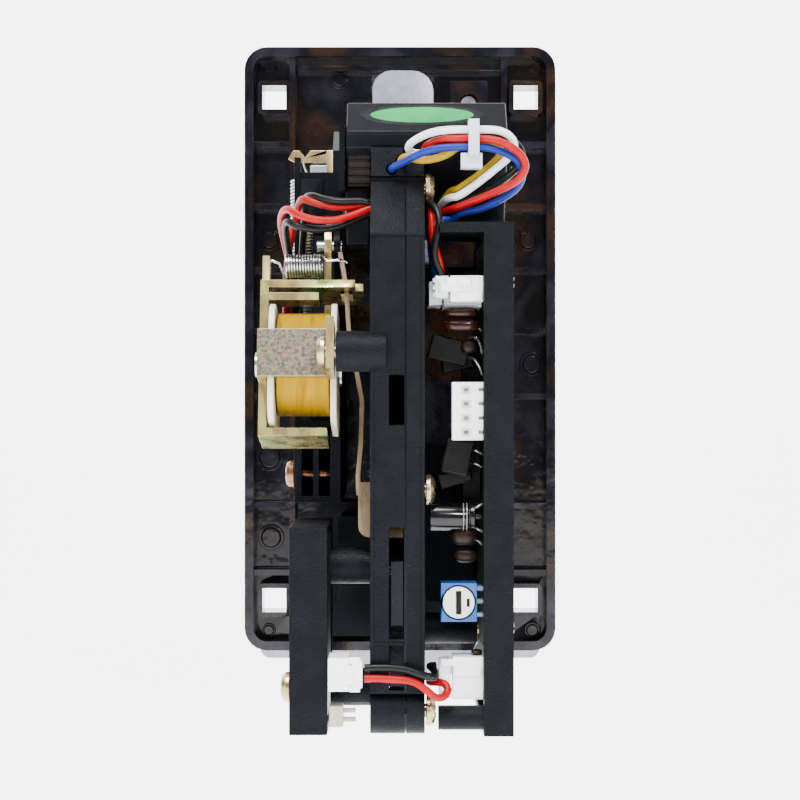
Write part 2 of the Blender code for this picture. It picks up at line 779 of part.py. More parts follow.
def make_board_cover():
    """A tray over the back of the board, with a roof that reaches towards the coin track."""
    cover = part(
        "board_cover",
        block((COVER_LEFT, COVER_RIGHT), (-COVER_REAR, -14.0), (COVER_BOTTOM, COVER_TOP)),
        textured_black(),
    )
    fuse(cover, block((7.1, COVER_LEFT + 1), (-COVER_REAR, -40.0), (COVER_TOP - 1.8, COVER_TOP)))
    cut(
        cover,
        block(
            (COVER_LEFT - 2, COVER_RIGHT - COVER_WALL),
            (-COVER_REAR + 2.0, -16.0),
            (COVER_BOTTOM + COVER_WALL, COVER_TOP - 1.8),
        ),
    )
    fuse(cover, side_rod(57.7, -67.5, 2.2, 6.8, COVER_LEFT + 2.0, 20))
    for depth, z in BOARD_POSTS:
        cut(cover, side_rod(depth, z, 1.5, 17, 22, 16))
    return cover


def make_board_cover_screws():
    return [
        screw(name, 9.4, COVER_RIGHT + GAP, depth, z, 2.7, 1.6, 1.1)
        for name, (depth, z) in zip(("cover_screw_upper", "cover_screw_lower"), BOARD_POSTS)
    ]


def make_trimmer():
    """A square trimmer with a slotted rotor that faces the rear."""
    body = part(
        "trimmer_body",
        block((7.3, 13.8), (-57.0, -52.4), (-50.5, -43.6)),
        material("trimmer_blue", (0.02, 0.12, 0.42), 0.35),
    )
    for z in (-49.4, -47.0, -44.7):
        fuse(body, block((13.4, 14.9), (-55.4, -53.4), (z - 0.5, z + 0.5)))
    cut(body, rod("Y", (TRIMMER_X, TRIMMER_Z), 3.15, -58, -55.4))
    rotor = part(
        "trimmer_rotor",
        rod("Y", (TRIMMER_X, TRIMMER_Z), 2.85, -57.3, -55.7),
        material("trimmer_white", (0.75, 0.75, 0.72), 0.45),
        (TRIMMER_X, -56.0, TRIMMER_Z),
    )
    slot = block((TRIMMER_X - 0.5, TRIMMER_X + 0.5), (-58, -56.5), (TRIMMER_Z - 2.1, TRIMMER_Z + 2.1))
    cut(rotor, slot)
    return body, rotor


def make_electrolytic_capacitor():
    """A can lying along X with its bead groove, held to the board by its leads."""
    profile = [(0, 5.2), (2.3, 5.2), (2.5, 5.5), (2.5, 12.2), (2.25, 12.5), (2.5, 12.9)]
    profile += [(2.5, 13.6), (0.5, 13.6), (0.5, 14.9), (0, 14.9)]
    bm = moved(turned_solid(profile), 0, -52.0, -32.0)
    return part("electrolytic_capacitor", bm, material("can_black", (0.015, 0.015, 0.02), 0.2))


def make_microcontroller():
    chip = block((11.6, 14.9), (-46.0, -38.0), (-30.0, -5.0))
    return part("microcontroller", chip, material("chip_black", (0.02, 0.02, 0.02), 0.5))


def make_connectors():
    coil = part("coil_header", block((9.0, 14.9), (-57.0, -51.4), (6.8, 11.5)), white_nylon())
    coil_plug = part("coil_plug", block((6.3, 8.7), (-56.4, -51.9), (7.5, 11.5)), white_nylon())
    fuse(coil_plug, block((6.9, 8.7), (-56.9, -56.2), (8.4, 10.6)))
    harness = part("harness_header", block((8.0, 14.9), (-50.6, -35.6), (6.1, 11.2)), white_nylon())
    harness_plug = part(
        "harness_plug", block((5.3, 7.7), (-50.2, -36.0), (6.6, 10.9)), white_nylon()
    )
    output = part("output_header", block((9.3, 14.9), (-57.4, -51.6), (-18.0, -7.6)), white_nylon())
    for index in range(4):
        z = -8.95 - 2.54 * index
        fuse(output, block((11.5, 12.1), (-57.8, -57.2), (z - 0.3, z + 0.3)))
        cut(output, block((14.1, 15.5), (-58, -56.4), (z - 0.3, z + 0.3)))
    right = part(
        "link_header_right", block((9.4, 14.9), (-57.2, -51.4), (-64.4, -56.8)), white_nylon()
    )
    right_plug = part(
        "link_plug_right", block((7.0, 9.1), (-56.8, -51.8), (-64.0, -57.4)), white_nylon()
    )
    left = part(
        "link_header_left", block((-12.6, -8.9), (-64.6, -57.0), (-61.8, -55.9)), white_nylon()
    )
    left_plug = part(
        "link_plug_left", block((-8.6, -6.6), (-64.2, -60.8), (-61.3, -56.4)), white_nylon()
    )
    return coil, coil_plug, harness, harness_plug, output, right, right_plug, left, left_plug


# ---------------------------------------------------------------- exit sensor


def make_sensor_cover():
    cover = part(
        "sensor_cover",
        block((SENSOR_LEFT, SENSOR_RIGHT), (-COVER_REAR, -34.0), (SENSOR_BOTTOM, SENSOR_TOP)),
        textured_black(),
    )
    cut(
        cover,
        block((SENSOR_LEFT + 1.6, SENSOR_RIGHT + 2), (-58.3, -35.6), (-68.7, SENSOR_TOP - 1.6)),
    )
    depth, z = SENSOR_BOSS
    fuse(cover, side_rod(depth, z, 3.0, SENSOR_LEFT + 1, SENSOR_RIGHT - 1.8))
    cut(cover, side_rod(depth, z, 1.5, SENSOR_LEFT - 2, SENSOR_RIGHT + 2, 16))
    return cover


def make_sensor_board():
    board = part(
        "sensor_board",
        block((SENSOR_RIGHT - 1.5, SENSOR_RIGHT - GAP), (-58.0, -35.9), (-68.4, -35.3)),
        board_laminate(),
    )
    depth, z = SENSOR_BOSS
    cut(board, side_rod(depth, z, 1.5, -16, -12, 16))
    return board


def make_light_sensor():
    sensor = part(
        "light_sensor",
        block((-12.6, -10.1), (-59.6, -55.8), (-68.9, -65.2)),
        material("sensor_beige", (0.55, 0.53, 0.45), 0.5),
    )
    for z in (-66.2, -67.8):
        fuse(sensor, block((-10.4, -7.9), (-58.1, -57.3), (z - 0.4, z + 0.4)))
    return sensor


# ---------------------------------------------------------------- screws


def make_case_screws():
    """Two screws close the coin track, one closes its spare hole, and two hold side parts."""
    seat = TRACK_RIGHT + GAP
    return [
        screw("body_screw_upper", -3.5, seat, *UPPER_SCREW),
        screw("body_screw_lower", -3.5, seat, *BARREL),
        screw("track_screw", 1.5, seat, *TRACK_SCREW),
        screw("bracket_screw", -12.6, -20.6, *BRACKET_SCREW),
        screw("sensor_cover_screw", -7.0, SENSOR_LEFT - GAP, *SENSOR_BOSS),
    ]


# ---------------------------------------------------------------- wires

# Each wire's route in (x, y, z). The harness loops up through the tie and back to its plug.
ROUTES = {
    "harness_wire_white": [
        (3.9, -48.5, 34.5), (2.6, -49.3, 34.5), (1.6, -50.6, 34.9), (1.8, -52.4, 35.6),
        (3.0, -54.2, 36.3), (5.0, -55.9, 37.0), (7.3, -57.0, 37.4), (10.0, -57.5, 37.5),
        (13.0, -57.5, 37.5), (15.7, -57.6, 37.5), (17.9, -57.3, 37.3), (19.7, -56.9, 36.4),
        (20.5, -56.4, 35.0), (20.2, -55.6, 33.6), (19.3, -55.0, 32.6), (17.2, -54.2, 30.9),
        (14.0, -53.6, 28.4), (10.7, -53.2, 26.2), (9.0, -51.3, 26.0), (7.85, -47.9, 25.4),
        (6.6, -45.2, 23.4), (5.75, -44.5, 21.0), (5.75, -44.2, 18.4), (6.1, -43.6, 15.0),
        (6.4, -43.0, 12.8), (6.45, -42.9, 11.25),
    ],
    "harness_wire_red": [
        (4.4, -50.2, 34.5), (4.7, -52.5, 35.2), (6.1, -55.2, 35.7), (8.2, -57.0, 35.9),
        (10.5, -57.6, 35.9), (13.0, -57.6, 35.95), (15.3, -57.9, 35.8), (17.3, -58.4, 35.4),
        (19.4, -58.6, 34.5), (21.2, -58.4, 33.2), (22.3, -57.9, 31.5), (22.1, -57.0, 29.8),
        (20.6, -56.2, 28.3), (18.2, -55.4, 27.1), (14.8, -54.6, 25.7), (11.0, -53.3, 24.3),
        (9.2, -51.9, 23.85), (7.6, -49.75, 23.35), (6.4, -48.4, 22.2), (5.75, -47.9, 20.5),
        (5.75, -47.8, 18.0), (6.1, -47.4, 15.0), (6.4, -47.0, 12.8), (6.45, -46.9, 11.25),
    ],
    "harness_wire_black": [
        (5.9, -48.4, 34.0), (6.1, -50.6, 34.9), (6.9, -53.0, 35.8), (8.5, -54.8, 36.5),
        (10.4, -55.8, 36.9), (13.1, -56.0, 36.95), (15.4, -55.9, 37.1), (17.6, -55.3, 37.0),
        (19.6, -54.9, 36.3), (21.1, -54.7, 35.2), (21.9, -54.6, 33.9), (21.9, -54.3, 32.4),
        (21.0, -54.0, 31.0), (19.2, -53.2, 29.5), (16.0, -52.6, 27.2), (12.6, -51.9, 25.9),
        (10.9, -51.4, 25.2), (9.3, -49.6, 24.7), (7.75, -48.1, 23.6), (6.5, -46.7, 22.3),
        (5.75, -46.2, 20.5), (5.75, -46.0, 18.0), (6.1, -45.5, 15.0), (6.4, -45.0, 12.8),
        (6.45, -44.9, 11.25),
    ],
    "harness_wire_blue": [
        (-1.5, -49.4, 31.4), (-1.5, -51.2, 31.4), (-0.8, -52.4, 31.7), (0.7, -54.0, 32.2), (3.6, -56.2, 33.4),
        (6.6, -57.4, 34.1), (10.0, -57.7, 34.4), (13.0, -57.6, 34.4), (15.4, -57.3, 34.35),
        (17.4, -57.2, 33.9), (19.4, -57.1, 33.1), (21.0, -56.6, 32.1), (21.9, -55.6, 30.6),
        (21.9, -54.8, 29.0), (20.9, -54.2, 27.3), (18.4, -53.3, 25.6), (14.9, -52.6, 24.0),
        (11.3, -51.7, 23.2), (9.2, -50.8, 22.25), (7.2, -50.7, 22.0), (6.1, -49.9, 21.3),
        (5.75, -49.6, 19.5), (5.9, -49.4, 16.5), (6.3, -49.1, 13.6), (6.45, -48.9, 11.25),
    ],
    "harness_wire_yellow": [
        (0.2, -49.4, 32.9), (0.2, -51.2, 32.9), (0.9, -52.4, 33.3), (2.2, -53.6, 32.9), (4.1, -54.4, 32.5),
        (6.3, -55.0, 32.7), (8.3, -55.6, 33.3), (10.1, -56.0, 34.4), (11.7, -56.0, 35.2),
        (13.3, -56.0, 35.35), (15.1, -55.8, 35.3), (16.9, -55.3, 34.9), (18.1, -54.7, 34.3),
        (18.2, -53.8, 33.6), (16.7, -52.6, 32.0), (13.9, -52.0, 29.8), (10.7, -51.4, 27.7),
        (9.5, -48.8, 27.5), (8.1, -45.6, 26.2), (6.6, -43.6, 23.6), (5.75, -42.8, 21.0),
        (5.75, -42.4, 18.2), (6.1, -41.7, 15.0), (6.4, -41.0, 12.8), (6.45, -40.9, 11.25),
    ],
    "coil_lead_red": [
        (-21.7, -38.6, 2.3), (-21.7, -36.4, 4.3), (-21.7, -35.4, 7.2), (-21.7, -35.2, 10.6),
        (-21.5, -35.8, 14.4), (-21.0, -37.4, 18.0), (-20.2, -39.8, 21.2), (-19.3, -42.8, 24.0),
        (-18.6, -45.8, 25.7), (-17.6, -48.4, 26.1), (-15.2, -50.0, 25.2), (-12.0, -50.7, 24.5),
        (-8.8, -50.8, 24.5), (-5.3, -50.8, 24.9), (-0.5, -50.8, 25.0), (4.2, -50.8, 25.0),
        (5.3, -51.7, 24.5), (5.7, -53.2, 23.3), (5.8, -54.2, 21.6), (5.8, -54.6, 19.6),
        (6.2, -54.9, 17.0), (7.0, -55.2, 14.2), (7.4, -55.2, 11.85),
    ],
    "coil_lead_black": [
        (-20.1, -38.6, 2.3), (-20.1, -36.4, 4.3), (-20.1, -35.4, 7.2), (-20.1, -35.3, 9.6),
        (-20.2, -35.9, 12.2), (-20.6, -37.6, 14.8), (-21.0, -40.3, 17.5), (-21.2, -43.4, 19.7),
        (-21.2, -46.4, 21.2), (-20.6, -49.0, 21.9), (-19.2, -50.8, 21.1), (-17.0, -51.3, 20.5),
        (-14.1, -51.4, 20.3), (-11.1, -51.2, 20.9), (-8.3, -50.9, 22.0), (-5.8, -50.8, 23.1),
        (-2.8, -50.8, 23.4), (0.5, -50.8, 23.4), (4.0, -50.8, 23.4), (5.2, -51.4, 23.0),
        (5.7, -52.3, 21.9), (5.8, -52.7, 20.0), (6.1, -53.0, 17.0), (6.9, -53.2, 14.2),
        (7.3, -53.2, 11.85),
    ],
    "link_lead_red": [
        (-6.25, -63.1, -59.7), (-4.3, -63.1, -59.7), (-2.2, -63.1, -59.8), (-0.2, -63.1, -59.9),
        (1.6, -63.1, -60.1), (3.2, -63.1, -60.7), (4.9, -63.0, -62.0), (6.3, -62.2, -63.2),
        (7.8, -61.0, -63.2), (8.5, -60.0, -62.1), (7.8, -59.1, -61.2), (6.5, -58.4, -61.1),
        (5.5, -57.0, -61.3), (5.3, -55.6, -61.4), (5.6, -54.5, -61.3), (6.4, -54.3, -61.2),
    ],
    "link_lead_black": [
        (-6.25, -63.1, -57.9), (-4.5, -63.1, -57.8), (-2.6, -63.1, -57.8), (-0.6, -63.1, -57.9),
        (1.4, -63.2, -58.2), (3.2, -63.3, -58.8), (4.9, -63.0, -59.4), (6.2, -61.6, -59.6),
        (6.2, -59.6, -59.0), (5.7, -58.0, -58.6), (5.4, -56.2, -58.6), (5.6, -54.9, -58.7),
        (6.4, -54.5, -58.7),
    ],
}
INSULATION = {
    "white": (0.75, 0.75, 0.75),
    "red": (0.75, 0.02, 0.03),
    "black": (0.02, 0.02, 0.02),
    "blue": (0.04, 0.07, 0.35),
    "yellow": (0.80, 0.60, 0.05),
}


def smooth_route(points):
    """Points every two wire diameters along a Catmull-Rom curve through the route."""
    ends = [2 * Vector(points[0]) - Vector(points[1]), 2 * Vector(points[-1]) - Vector(points[-2])]
    knots = [ends[0]] + [Vector(point) for point in points] + [ends[1]]
    dense = []
    for a, b, c, d in zip(knots, knots[1:], knots[2:], knots[3:]):
        for step in range(20):
            t = step / 20
            bend = 2 * a - 5 * b + 4 * c - d
            twist = 3 * b - a - 3 * c + d
            dense.append(0.5 * (2 * b + t * (c - a) + t * t * bend + t * t * t * twist))
    dense.append(Vector(points[-1]))
    length = sum((after - before).length for before, after in zip(dense, dense[1:]))
    count = round(length / (2 * WIRE_DIAMETER))
    spaced = [dense[0]]
    run = 0.0
    for before, after in zip(dense, dense[1:]):
        run += (after - before).length
        if run >= len(spaced) * length / count and len(spaced) < count:
            spaced.append(after)
    return spaced + [dense[-1]]


def make_wire(name):
    colour = name.rsplit("_", 1)[1]
    curve = bpy.data.curves.new(name, "CURVE")
    curve.dimensions = "3D"
    curve.bevel_depth = WIRE_DIAMETER / 2 * MM
    curve.bevel_resolution = 2
    curve.use_fill_caps = True
    route = smooth_route(ROUTES[name])
    spline = curve.splines.new("POLY")
    spline.points.add(len(route) - 1)
    for point, place in zip(spline.points, route):
        point.co = (*(place * MM), 1.0)
    curve.materials.append(material("insulation_" + colour, INSULATION[colour], 0.35))
    made = bpy.data.objects.new(name, curve)
    bpy.context.scene.collection.objects.link(made)
    return made


def make_zip_tie():
    """A ring of strap round the harness, with its square head underneath."""
    tie = part(
        "zip_tie",
        prism(rounded(2.7, 3.4, 1.2, (-56.8, 35.95), 4), "X", 12.2, 14.1),
        material("tie_nylon", (0.62, 0.62, 0.60), 0.4),
    )
    fuse(tie, prism(rounded(1.6, 1.4, 0.5, (-56.5, 32.0), 3), "X", 10.9, 14.7))
    cut(tie, prism(rounded(1.85, 2.5, 0.8, (-56.8, 35.95), 4), "X", 10, 16))
    return tie


# ---------------------------------------------------------------- whole object


def main():
    for old in list(bpy.data.objects):
        bpy.data.objects.remove(old, do_unlink=True)
    make_face_plate()
    make_coin_entry_bezel()
    make_bezel_screw()
    make_return_button()
    make_return_cup()
    make_return_flap()
    make_body_left_half()
    make_body_right_half()
    make_pullback_flap()
    make_return_chute()
    make_comparator_housing()
    make_sensing_coil()
    make_sample_coin()
    make_sample_clamp()
    make_mechanism_bracket()
    make_return_lever()
    make_lever_pin()
    make_return_spring()
    make_solenoid_frame()
    make_solenoid_screw()
    make_coil_bobbin()
    make_coil_winding()
    make_solenoid_core()
    make_gate_lever()
    make_gate_spring()
    make_main_board()
    make_board_cover()
    make_board_cover_screws()
    make_trimmer()
    make_electrolytic_capacitor()
    make_microcontroller()
    make_connectors()
    make_sensor_cover()
    make_sensor_board()
    make_light_sensor()
    make_case_screws()
    for name in ROUTES:
        make_wire(name)
    make_zip_tie()


main()
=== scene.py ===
import json
import math

import bmesh
import bpy
from mathutils import Matrix, Vector


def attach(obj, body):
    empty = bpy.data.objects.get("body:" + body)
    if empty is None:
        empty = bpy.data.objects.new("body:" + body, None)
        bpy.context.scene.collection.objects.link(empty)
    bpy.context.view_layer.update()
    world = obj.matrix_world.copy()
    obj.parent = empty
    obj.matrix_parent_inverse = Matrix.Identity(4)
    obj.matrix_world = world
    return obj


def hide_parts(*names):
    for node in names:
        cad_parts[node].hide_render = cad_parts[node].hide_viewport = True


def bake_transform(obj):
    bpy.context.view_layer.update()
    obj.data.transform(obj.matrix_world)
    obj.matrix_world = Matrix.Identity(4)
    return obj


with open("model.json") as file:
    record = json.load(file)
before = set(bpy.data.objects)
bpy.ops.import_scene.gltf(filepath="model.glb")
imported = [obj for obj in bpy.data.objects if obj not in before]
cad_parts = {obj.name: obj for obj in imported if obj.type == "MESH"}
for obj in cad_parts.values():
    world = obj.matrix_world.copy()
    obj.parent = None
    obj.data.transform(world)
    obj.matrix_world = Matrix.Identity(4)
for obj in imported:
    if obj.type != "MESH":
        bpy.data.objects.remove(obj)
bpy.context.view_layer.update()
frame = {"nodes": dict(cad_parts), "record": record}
MM = 0.001
ROOT = "acceptor"


# ---------------------------------------------------------------- camera

SENSOR_WIDTH = 36.0
FOCAL_LENGTH = 81.2
CAMERA_PLACE = (0.0, -0.380, -0.0108)

camera_data = bpy.data.cameras.new("camera")
camera_data.sensor_width = SENSOR_WIDTH
camera_data.lens = FOCAL_LENGTH
camera = bpy.data.objects.new("camera", camera_data)
camera.location = CAMERA_PLACE
camera.rotation_euler = (math.radians(90), 0.0, 0.0)
bpy.context.scene.collection.objects.link(camera)
bpy.context.scene.camera = camera


# ---------------------------------------------------------------- materials

# The part of a noise's range that is spread over a finish's colours and roughness
NOISE_LOW = 0.3
NOISE_HIGH = 0.7
SMOOTHEST = 0.03
COAT_ROUGHNESS = 0.08


def surface(
    name,
    colours,
    rough,
    metallic=0.0,
    mottle=300.0,
    stretch=(1.0, 1.0, 1.0),
    grain=3000.0,
    bump=0.1,
    rough_range=0.08,
    coat=0.0,
    depth=0.05,
    specular=0.5,
    tint=(1.0, 1.0, 1.0),
):
    """A procedural finish: colours mixed by one noise, roughness by another, bump by a third.
    Scales are in cycles per metre and depth, the bump's height, in millimetres."""
    made = bpy.data.materials.new(name)
    made.use_nodes = True
    nodes = made.node_tree.nodes
    link = made.node_tree.links.new
    shader = nodes["Principled BSDF"]
    place = nodes.new("ShaderNodeTexCoord")
    mapping = nodes.new("ShaderNodeMapping")
    mapping.inputs["Scale"].default_value = stretch
    link(place.outputs["Object"], mapping.inputs["Vector"])

    blotch = nodes.new("ShaderNodeTexNoise")
    blotch.inputs["Scale"].default_value = mottle
    blotch.inputs["Detail"].default_value = 4.0
    link(mapping.outputs["Vector"], blotch.inputs["Vector"])
    ramp = nodes.new("ShaderNodeValToRGB")
    ramp.color_ramp.elements[0].position = NOISE_LOW
    ramp.color_ramp.elements[1].position = NOISE_HIGH
    ramp.color_ramp.elements[0].color = (*colours[0], 1.0)
    ramp.color_ramp.elements[1].color = (*colours[-1], 1.0)
    for index, colour in enumerate(colours[1:-1], 1):
        share = index / (len(colours) - 1)
        stop = ramp.color_ramp.elements.new(NOISE_LOW + (NOISE_HIGH - NOISE_LOW) * share)
        stop.color = (*colour, 1.0)
    link(blotch.outputs["Fac"], ramp.inputs["Fac"])
    link(ramp.outputs["Color"], shader.inputs["Base Color"])

    smear = nodes.new("ShaderNodeTexNoise")
    smear.inputs["Scale"].default_value = mottle * 1.7
    smear.inputs["Detail"].default_value = 6.0
    link(mapping.outputs["Vector"], smear.inputs["Vector"])
    spread = nodes.new("ShaderNodeMapRange")
    spread.inputs["From Min"].default_value = NOISE_LOW
    spread.inputs["From Max"].default_value = NOISE_HIGH
    spread.inputs["To Min"].default_value = max(rough - rough_range, SMOOTHEST)
    spread.inputs["To Max"].default_value = rough + rough_range
    link(smear.outputs["Fac"], spread.inputs["Value"])
    link(spread.outputs["Result"], shader.inputs["Roughness"])

    speck = nodes.new("ShaderNodeTexNoise")
    speck.inputs["Scale"].default_value = grain
    speck.inputs["Detail"].default_value = 3.0
    link(mapping.outputs["Vector"], speck.inputs["Vector"])
    relief = nodes.new("ShaderNodeBump")
    relief.inputs["Strength"].default_value = bump
    relief.inputs["Distance"].default_value = depth * MM
    link(speck.outputs["Fac"], relief.inputs["Height"])
    link(relief.outputs["Normal"], shader.inputs["Normal"])

    shader.inputs["Metallic"].default_value = metallic
    shader.inputs["Specular IOR Level"].default_value = specular
    shader.inputs["Specular Tint"].default_value = (*tint, 1.0)
    shader.inputs["Coat Weight"].default_value = coat
    shader.inputs["Coat Roughness"].default_value = COAT_ROUGHNESS
    return made


def grey(level, blue=1.0):
    return (level, level, level * blue)


BLUISH = (0.78, 0.86, 1.0)
# Gloss black plastic: the near-black shades are its own colour, the brown and lavender blotches are
# painted reflections
GLOSS_BLACK_PAINTED_REFLECTIONS = surface(
    "gloss_black",
    [(0.001, 0.001, 0.002), (0.014, 0.007, 0.004), (0.002, 0.002, 0.004), (0.010, 0.009, 0.014),
     (0.002, 0.001, 0.001)],
    0.10, mottle=60, grain=150, bump=0.4, rough_range=0.06, coat=0.06, depth=0.4, specular=0.22,
)
SATIN_BLACK = surface(
    "satin_black", [grey(0.002, 1.4), grey(0.004, 1.4)], 0.36, mottle=90, grain=1800, bump=0.3,
    specular=0.08, tint=BLUISH,
)
ROUGH_BLACK = surface(
    "textured_black", [grey(0.002, 1.4), grey(0.004, 1.4)], 0.44, mottle=200, grain=2400,
    bump=0.9, depth=0.16, specular=0.08, tint=BLUISH,
)
SMOOTH_BLACK = surface(
    "smooth_black", [grey(0.002, 1.4), grey(0.004, 1.4)], 0.22, mottle=110, grain=1200, bump=0.15,
    specular=0.16, tint=BLUISH,
)
BROWN_BLACK = surface(
    "brown_black", [(0.003, 0.002, 0.002), (0.008, 0.005, 0.004)], 0.5, mottle=240, grain=2200,
    bump=0.8, depth=0.15, specular=0.12,
)
SILVER = surface(
    "silver_paint", [(0.22, 0.22, 0.27), (0.28, 0.28, 0.33)], 0.28, 0.35, mottle=250, grain=5000,
    bump=0.08, coat=0.3,
)
ZINC = surface(
    "yellow_zinc",
    [(0.20, 0.29, 0.10), (0.40, 0.42, 0.12), (0.38, 0.26, 0.13), (0.29, 0.34, 0.13)],
    0.28, 0.9, mottle=160, stretch=(1.0, 1.0, 0.5), grain=2500, bump=0.15, rough_range=0.1,
)
STRAP_ZINC = surface(
    "strap_zinc",
    [(0.09, 0.13, 0.11), (0.24, 0.24, 0.15), (0.23, 0.14, 0.11), (0.13, 0.17, 0.15),
     (0.32, 0.27, 0.10)],
    0.30, 0.85, mottle=1000, grain=5200, bump=0.3, rough_range=0.12,
)
BRASS = surface(
    "brass", [(0.34, 0.26, 0.11), (0.52, 0.41, 0.19)], 0.3, 0.9, mottle=220,
    stretch=(1.0, 1.0, 0.2), grain=2400, bump=0.12,
)
BRONZE = surface(
    "bronze_zinc", [(0.16, 0.11, 0.07), (0.30, 0.22, 0.13), (0.24, 0.14, 0.11)], 0.32, 0.9,
    mottle=240, stretch=(1.0, 1.0, 0.3), grain=2400, bump=0.15,
)
COPPER = surface(
    "winding_copper", [(0.42, 0.16, 0.06), (0.62, 0.27, 0.12)], 0.3, 0.9, mottle=500,
    stretch=(6.0, 1.0, 1.0), grain=3000, bump=0.5,
)
STEEL = surface(
    "bright_steel", [grey(0.36), grey(0.52)], 0.22, 0.95, mottle=400, grain=3000, bump=0.08
)
COIN = surface(
    "coin_nickel", [(0.36, 0.33, 0.27), (0.46, 0.44, 0.38)], 0.25, 0.95, mottle=150, grain=900,
    bump=0.4, depth=0.15,
)
SCREW = surface(
    "screw_zinc", [(0.34, 0.26, 0.11), (0.50, 0.40, 0.22), (0.44, 0.27, 0.17)], 0.27, 0.95,
    mottle=500, grain=4000, bump=0.15,
)
COPPER_SCREW = surface(
    "screw_copper", [(0.20, 0.09, 0.05), (0.28, 0.15, 0.09)], 0.3, 0.95, mottle=500, grain=4000,
    bump=0.15,
)
NYLON = surface(
    "white_nylon", [(0.78, 0.80, 0.83), (0.85, 0.87, 0.89)], 0.36, mottle=180, grain=1500, bump=0.08
)
BOBBIN = surface(
    "bobbin_nylon", [(0.56, 0.52, 0.40), (0.66, 0.62, 0.50)], 0.42, mottle=150, grain=1500, bump=0.1
)
TIE = surface(
    "tie_nylon", [(0.40, 0.43, 0.47), (0.50, 0.53, 0.57)], 0.3, mottle=200, grain=1500, bump=0.1
)
TAPE = surface(
    "yellow_tape", [(0.27, 0.145, 0.0), (0.33, 0.185, 0.0), (0.22, 0.105, 0.0)], 0.3,
    mottle=260, stretch=(2.5, 0.4, 0.4), grain=1400, bump=0.35, depth=0.12, specular=0.1,
    tint=(1.0, 0.75, 0.3),
)
LAMINATE = surface(
    "board_laminate", [(0.004, 0.012, 0.004), (0.008, 0.022, 0.008)], 0.45, mottle=300, grain=1500,
    bump=0.2,
)
TRIM_BLUE = surface(
    "trimmer_blue", [(0.001, 0.045, 0.22), (0.003, 0.065, 0.28)], 0.3, mottle=300, grain=1500,
    bump=0.1,
)
TRIM_WHITE = surface(
    "trimmer_white", [(0.58, 0.58, 0.54), (0.66, 0.66, 0.62)], 0.4, mottle=300, grain=1500, bump=0.1
)
CAN = surface(
    "can_sleeve", [grey(0.002), grey(0.005, 1.3)], 0.16, mottle=200, grain=900, bump=0.1, coat=0.2,
    specular=0.2,
)
BAND = surface("can_band", [grey(0.16), grey(0.24)], 0.25, mottle=200, grain=900, bump=0.1)
# Black epoxy of the board's parts, darkened further as painted shade for the shadowed side of the
# board
CHIP_BLACK_WITH_PAINTED_SHADE = surface(
    "chip_black", [grey(0.002), grey(0.005)], 0.45, mottle=400, grain=3000, bump=0.3, specular=0.12
)
BEIGE = surface(
    "sensor_beige", [(0.34, 0.31, 0.21), (0.44, 0.41, 0.30)], 0.4, mottle=300, grain=1500, bump=0.15
)
# Amber of the film capacitors, darkened far below its own colour as painted shade for the shadowed
# side of the board
AMBER_WITH_PAINTED_SHADE = surface(
    "film_capacitor", [(0.016, 0.003, 0.001), (0.032, 0.006, 0.001)], 0.22, mottle=300, grain=900,
    bump=0.25, coat=0.2, depth=0.15, specular=0.2,
)
# Brown of the ceramic capacitors, darkened far below its own colour as painted shade for the
# shadowed side of the board
DISC_BROWN_WITH_PAINTED_SHADE = surface(
    "ceramic_disc_painted_shade", [(0.008, 0.003, 0.001), (0.016, 0.006, 0.003)], 0.35, mottle=400, grain=1500,
    bump=0.2, specular=0.2,
)
DULL_LEAD = surface(
    "tinned_lead", [grey(0.16), grey(0.30)], 0.3, 0.9, mottle=400, grain=3000, bump=0.1
)
STICKER_GREEN = surface(
    "sticker_green", [(0.006, 0.20, 0.045), (0.010, 0.25, 0.065)], 0.3, mottle=200, grain=900,
    bump=0.1, specular=0.25,
)
STICKER_FILM = surface(
    "sticker_film", [grey(0.010, 1.2), grey(0.016, 1.2)], 0.18, mottle=200, grain=900, bump=0.1,
    specular=0.2,
)
INSULATION = {
    "white": [(0.60, 0.62, 0.65), (0.70, 0.71, 0.74)],
    "red": [(0.23, 0.0, 0.001), (0.29, 0.0, 0.002)],
    "black": [grey(0.002), grey(0.004)],
    "blue": [(0.005, 0.012, 0.13), (0.010, 0.020, 0.18)],
    "yellow": [(0.26, 0.155, 0.0), (0.32, 0.20, 0.0)],
    "green": [(0.005, 0.06, 0.02), (0.010, 0.09, 0.035)],
}
WIRE = {
    colour: surface(
        "insulation_" + colour, shades, 0.34, mottle=350, grain=1800, bump=0.12, specular=0.14
    )
    for colour, shades in INSULATION.items()
}


# ---------------------------------------------------------------- mesh helpers

ROUNDED_FROM = math.radians(30)
SHARP_FROM = math.radians(32)
FLAT_WITHIN = math.radians(0.5)
MERGE_WITHIN = 1e-6


def finish_piece(made, material, body, bevel=0.0, segments=2):
    """Material, rounded edges, smooth shading and the body that the piece moves with, if any."""
    made.data.materials.clear()
    made.data.materials.append(material)
    if bevel:
        edge = made.modifiers.new("Edge", "BEVEL")
        edge.width = bevel * MM
        edge.segments = segments
        edge.limit_method = "ANGLE"
        edge.angle_limit = ROUNDED_FROM
        edge.harden_normals = True
    made.data.shade_smooth()
    made.data.set_sharp_from_angle(angle=SHARP_FROM)
    if body:
        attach(made, body)
    return made


def piece(name, bm, material, body=ROOT, bevel=0.12, segments=2):
    """A new piece from a bmesh in millimetres."""
    bmesh.ops.recalc_face_normals(bm, faces=bm.faces)
    bmesh.ops.scale(bm, verts=bm.verts, vec=(MM, MM, MM))
    mesh = bpy.data.meshes.new(name)
    bm.to_mesh(mesh)
    bm.free()
    made = bpy.data.objects.new(name, mesh)
    bpy.context.scene.collection.objects.link(made)
    return finish_piece(made, material, body, bevel, segments)


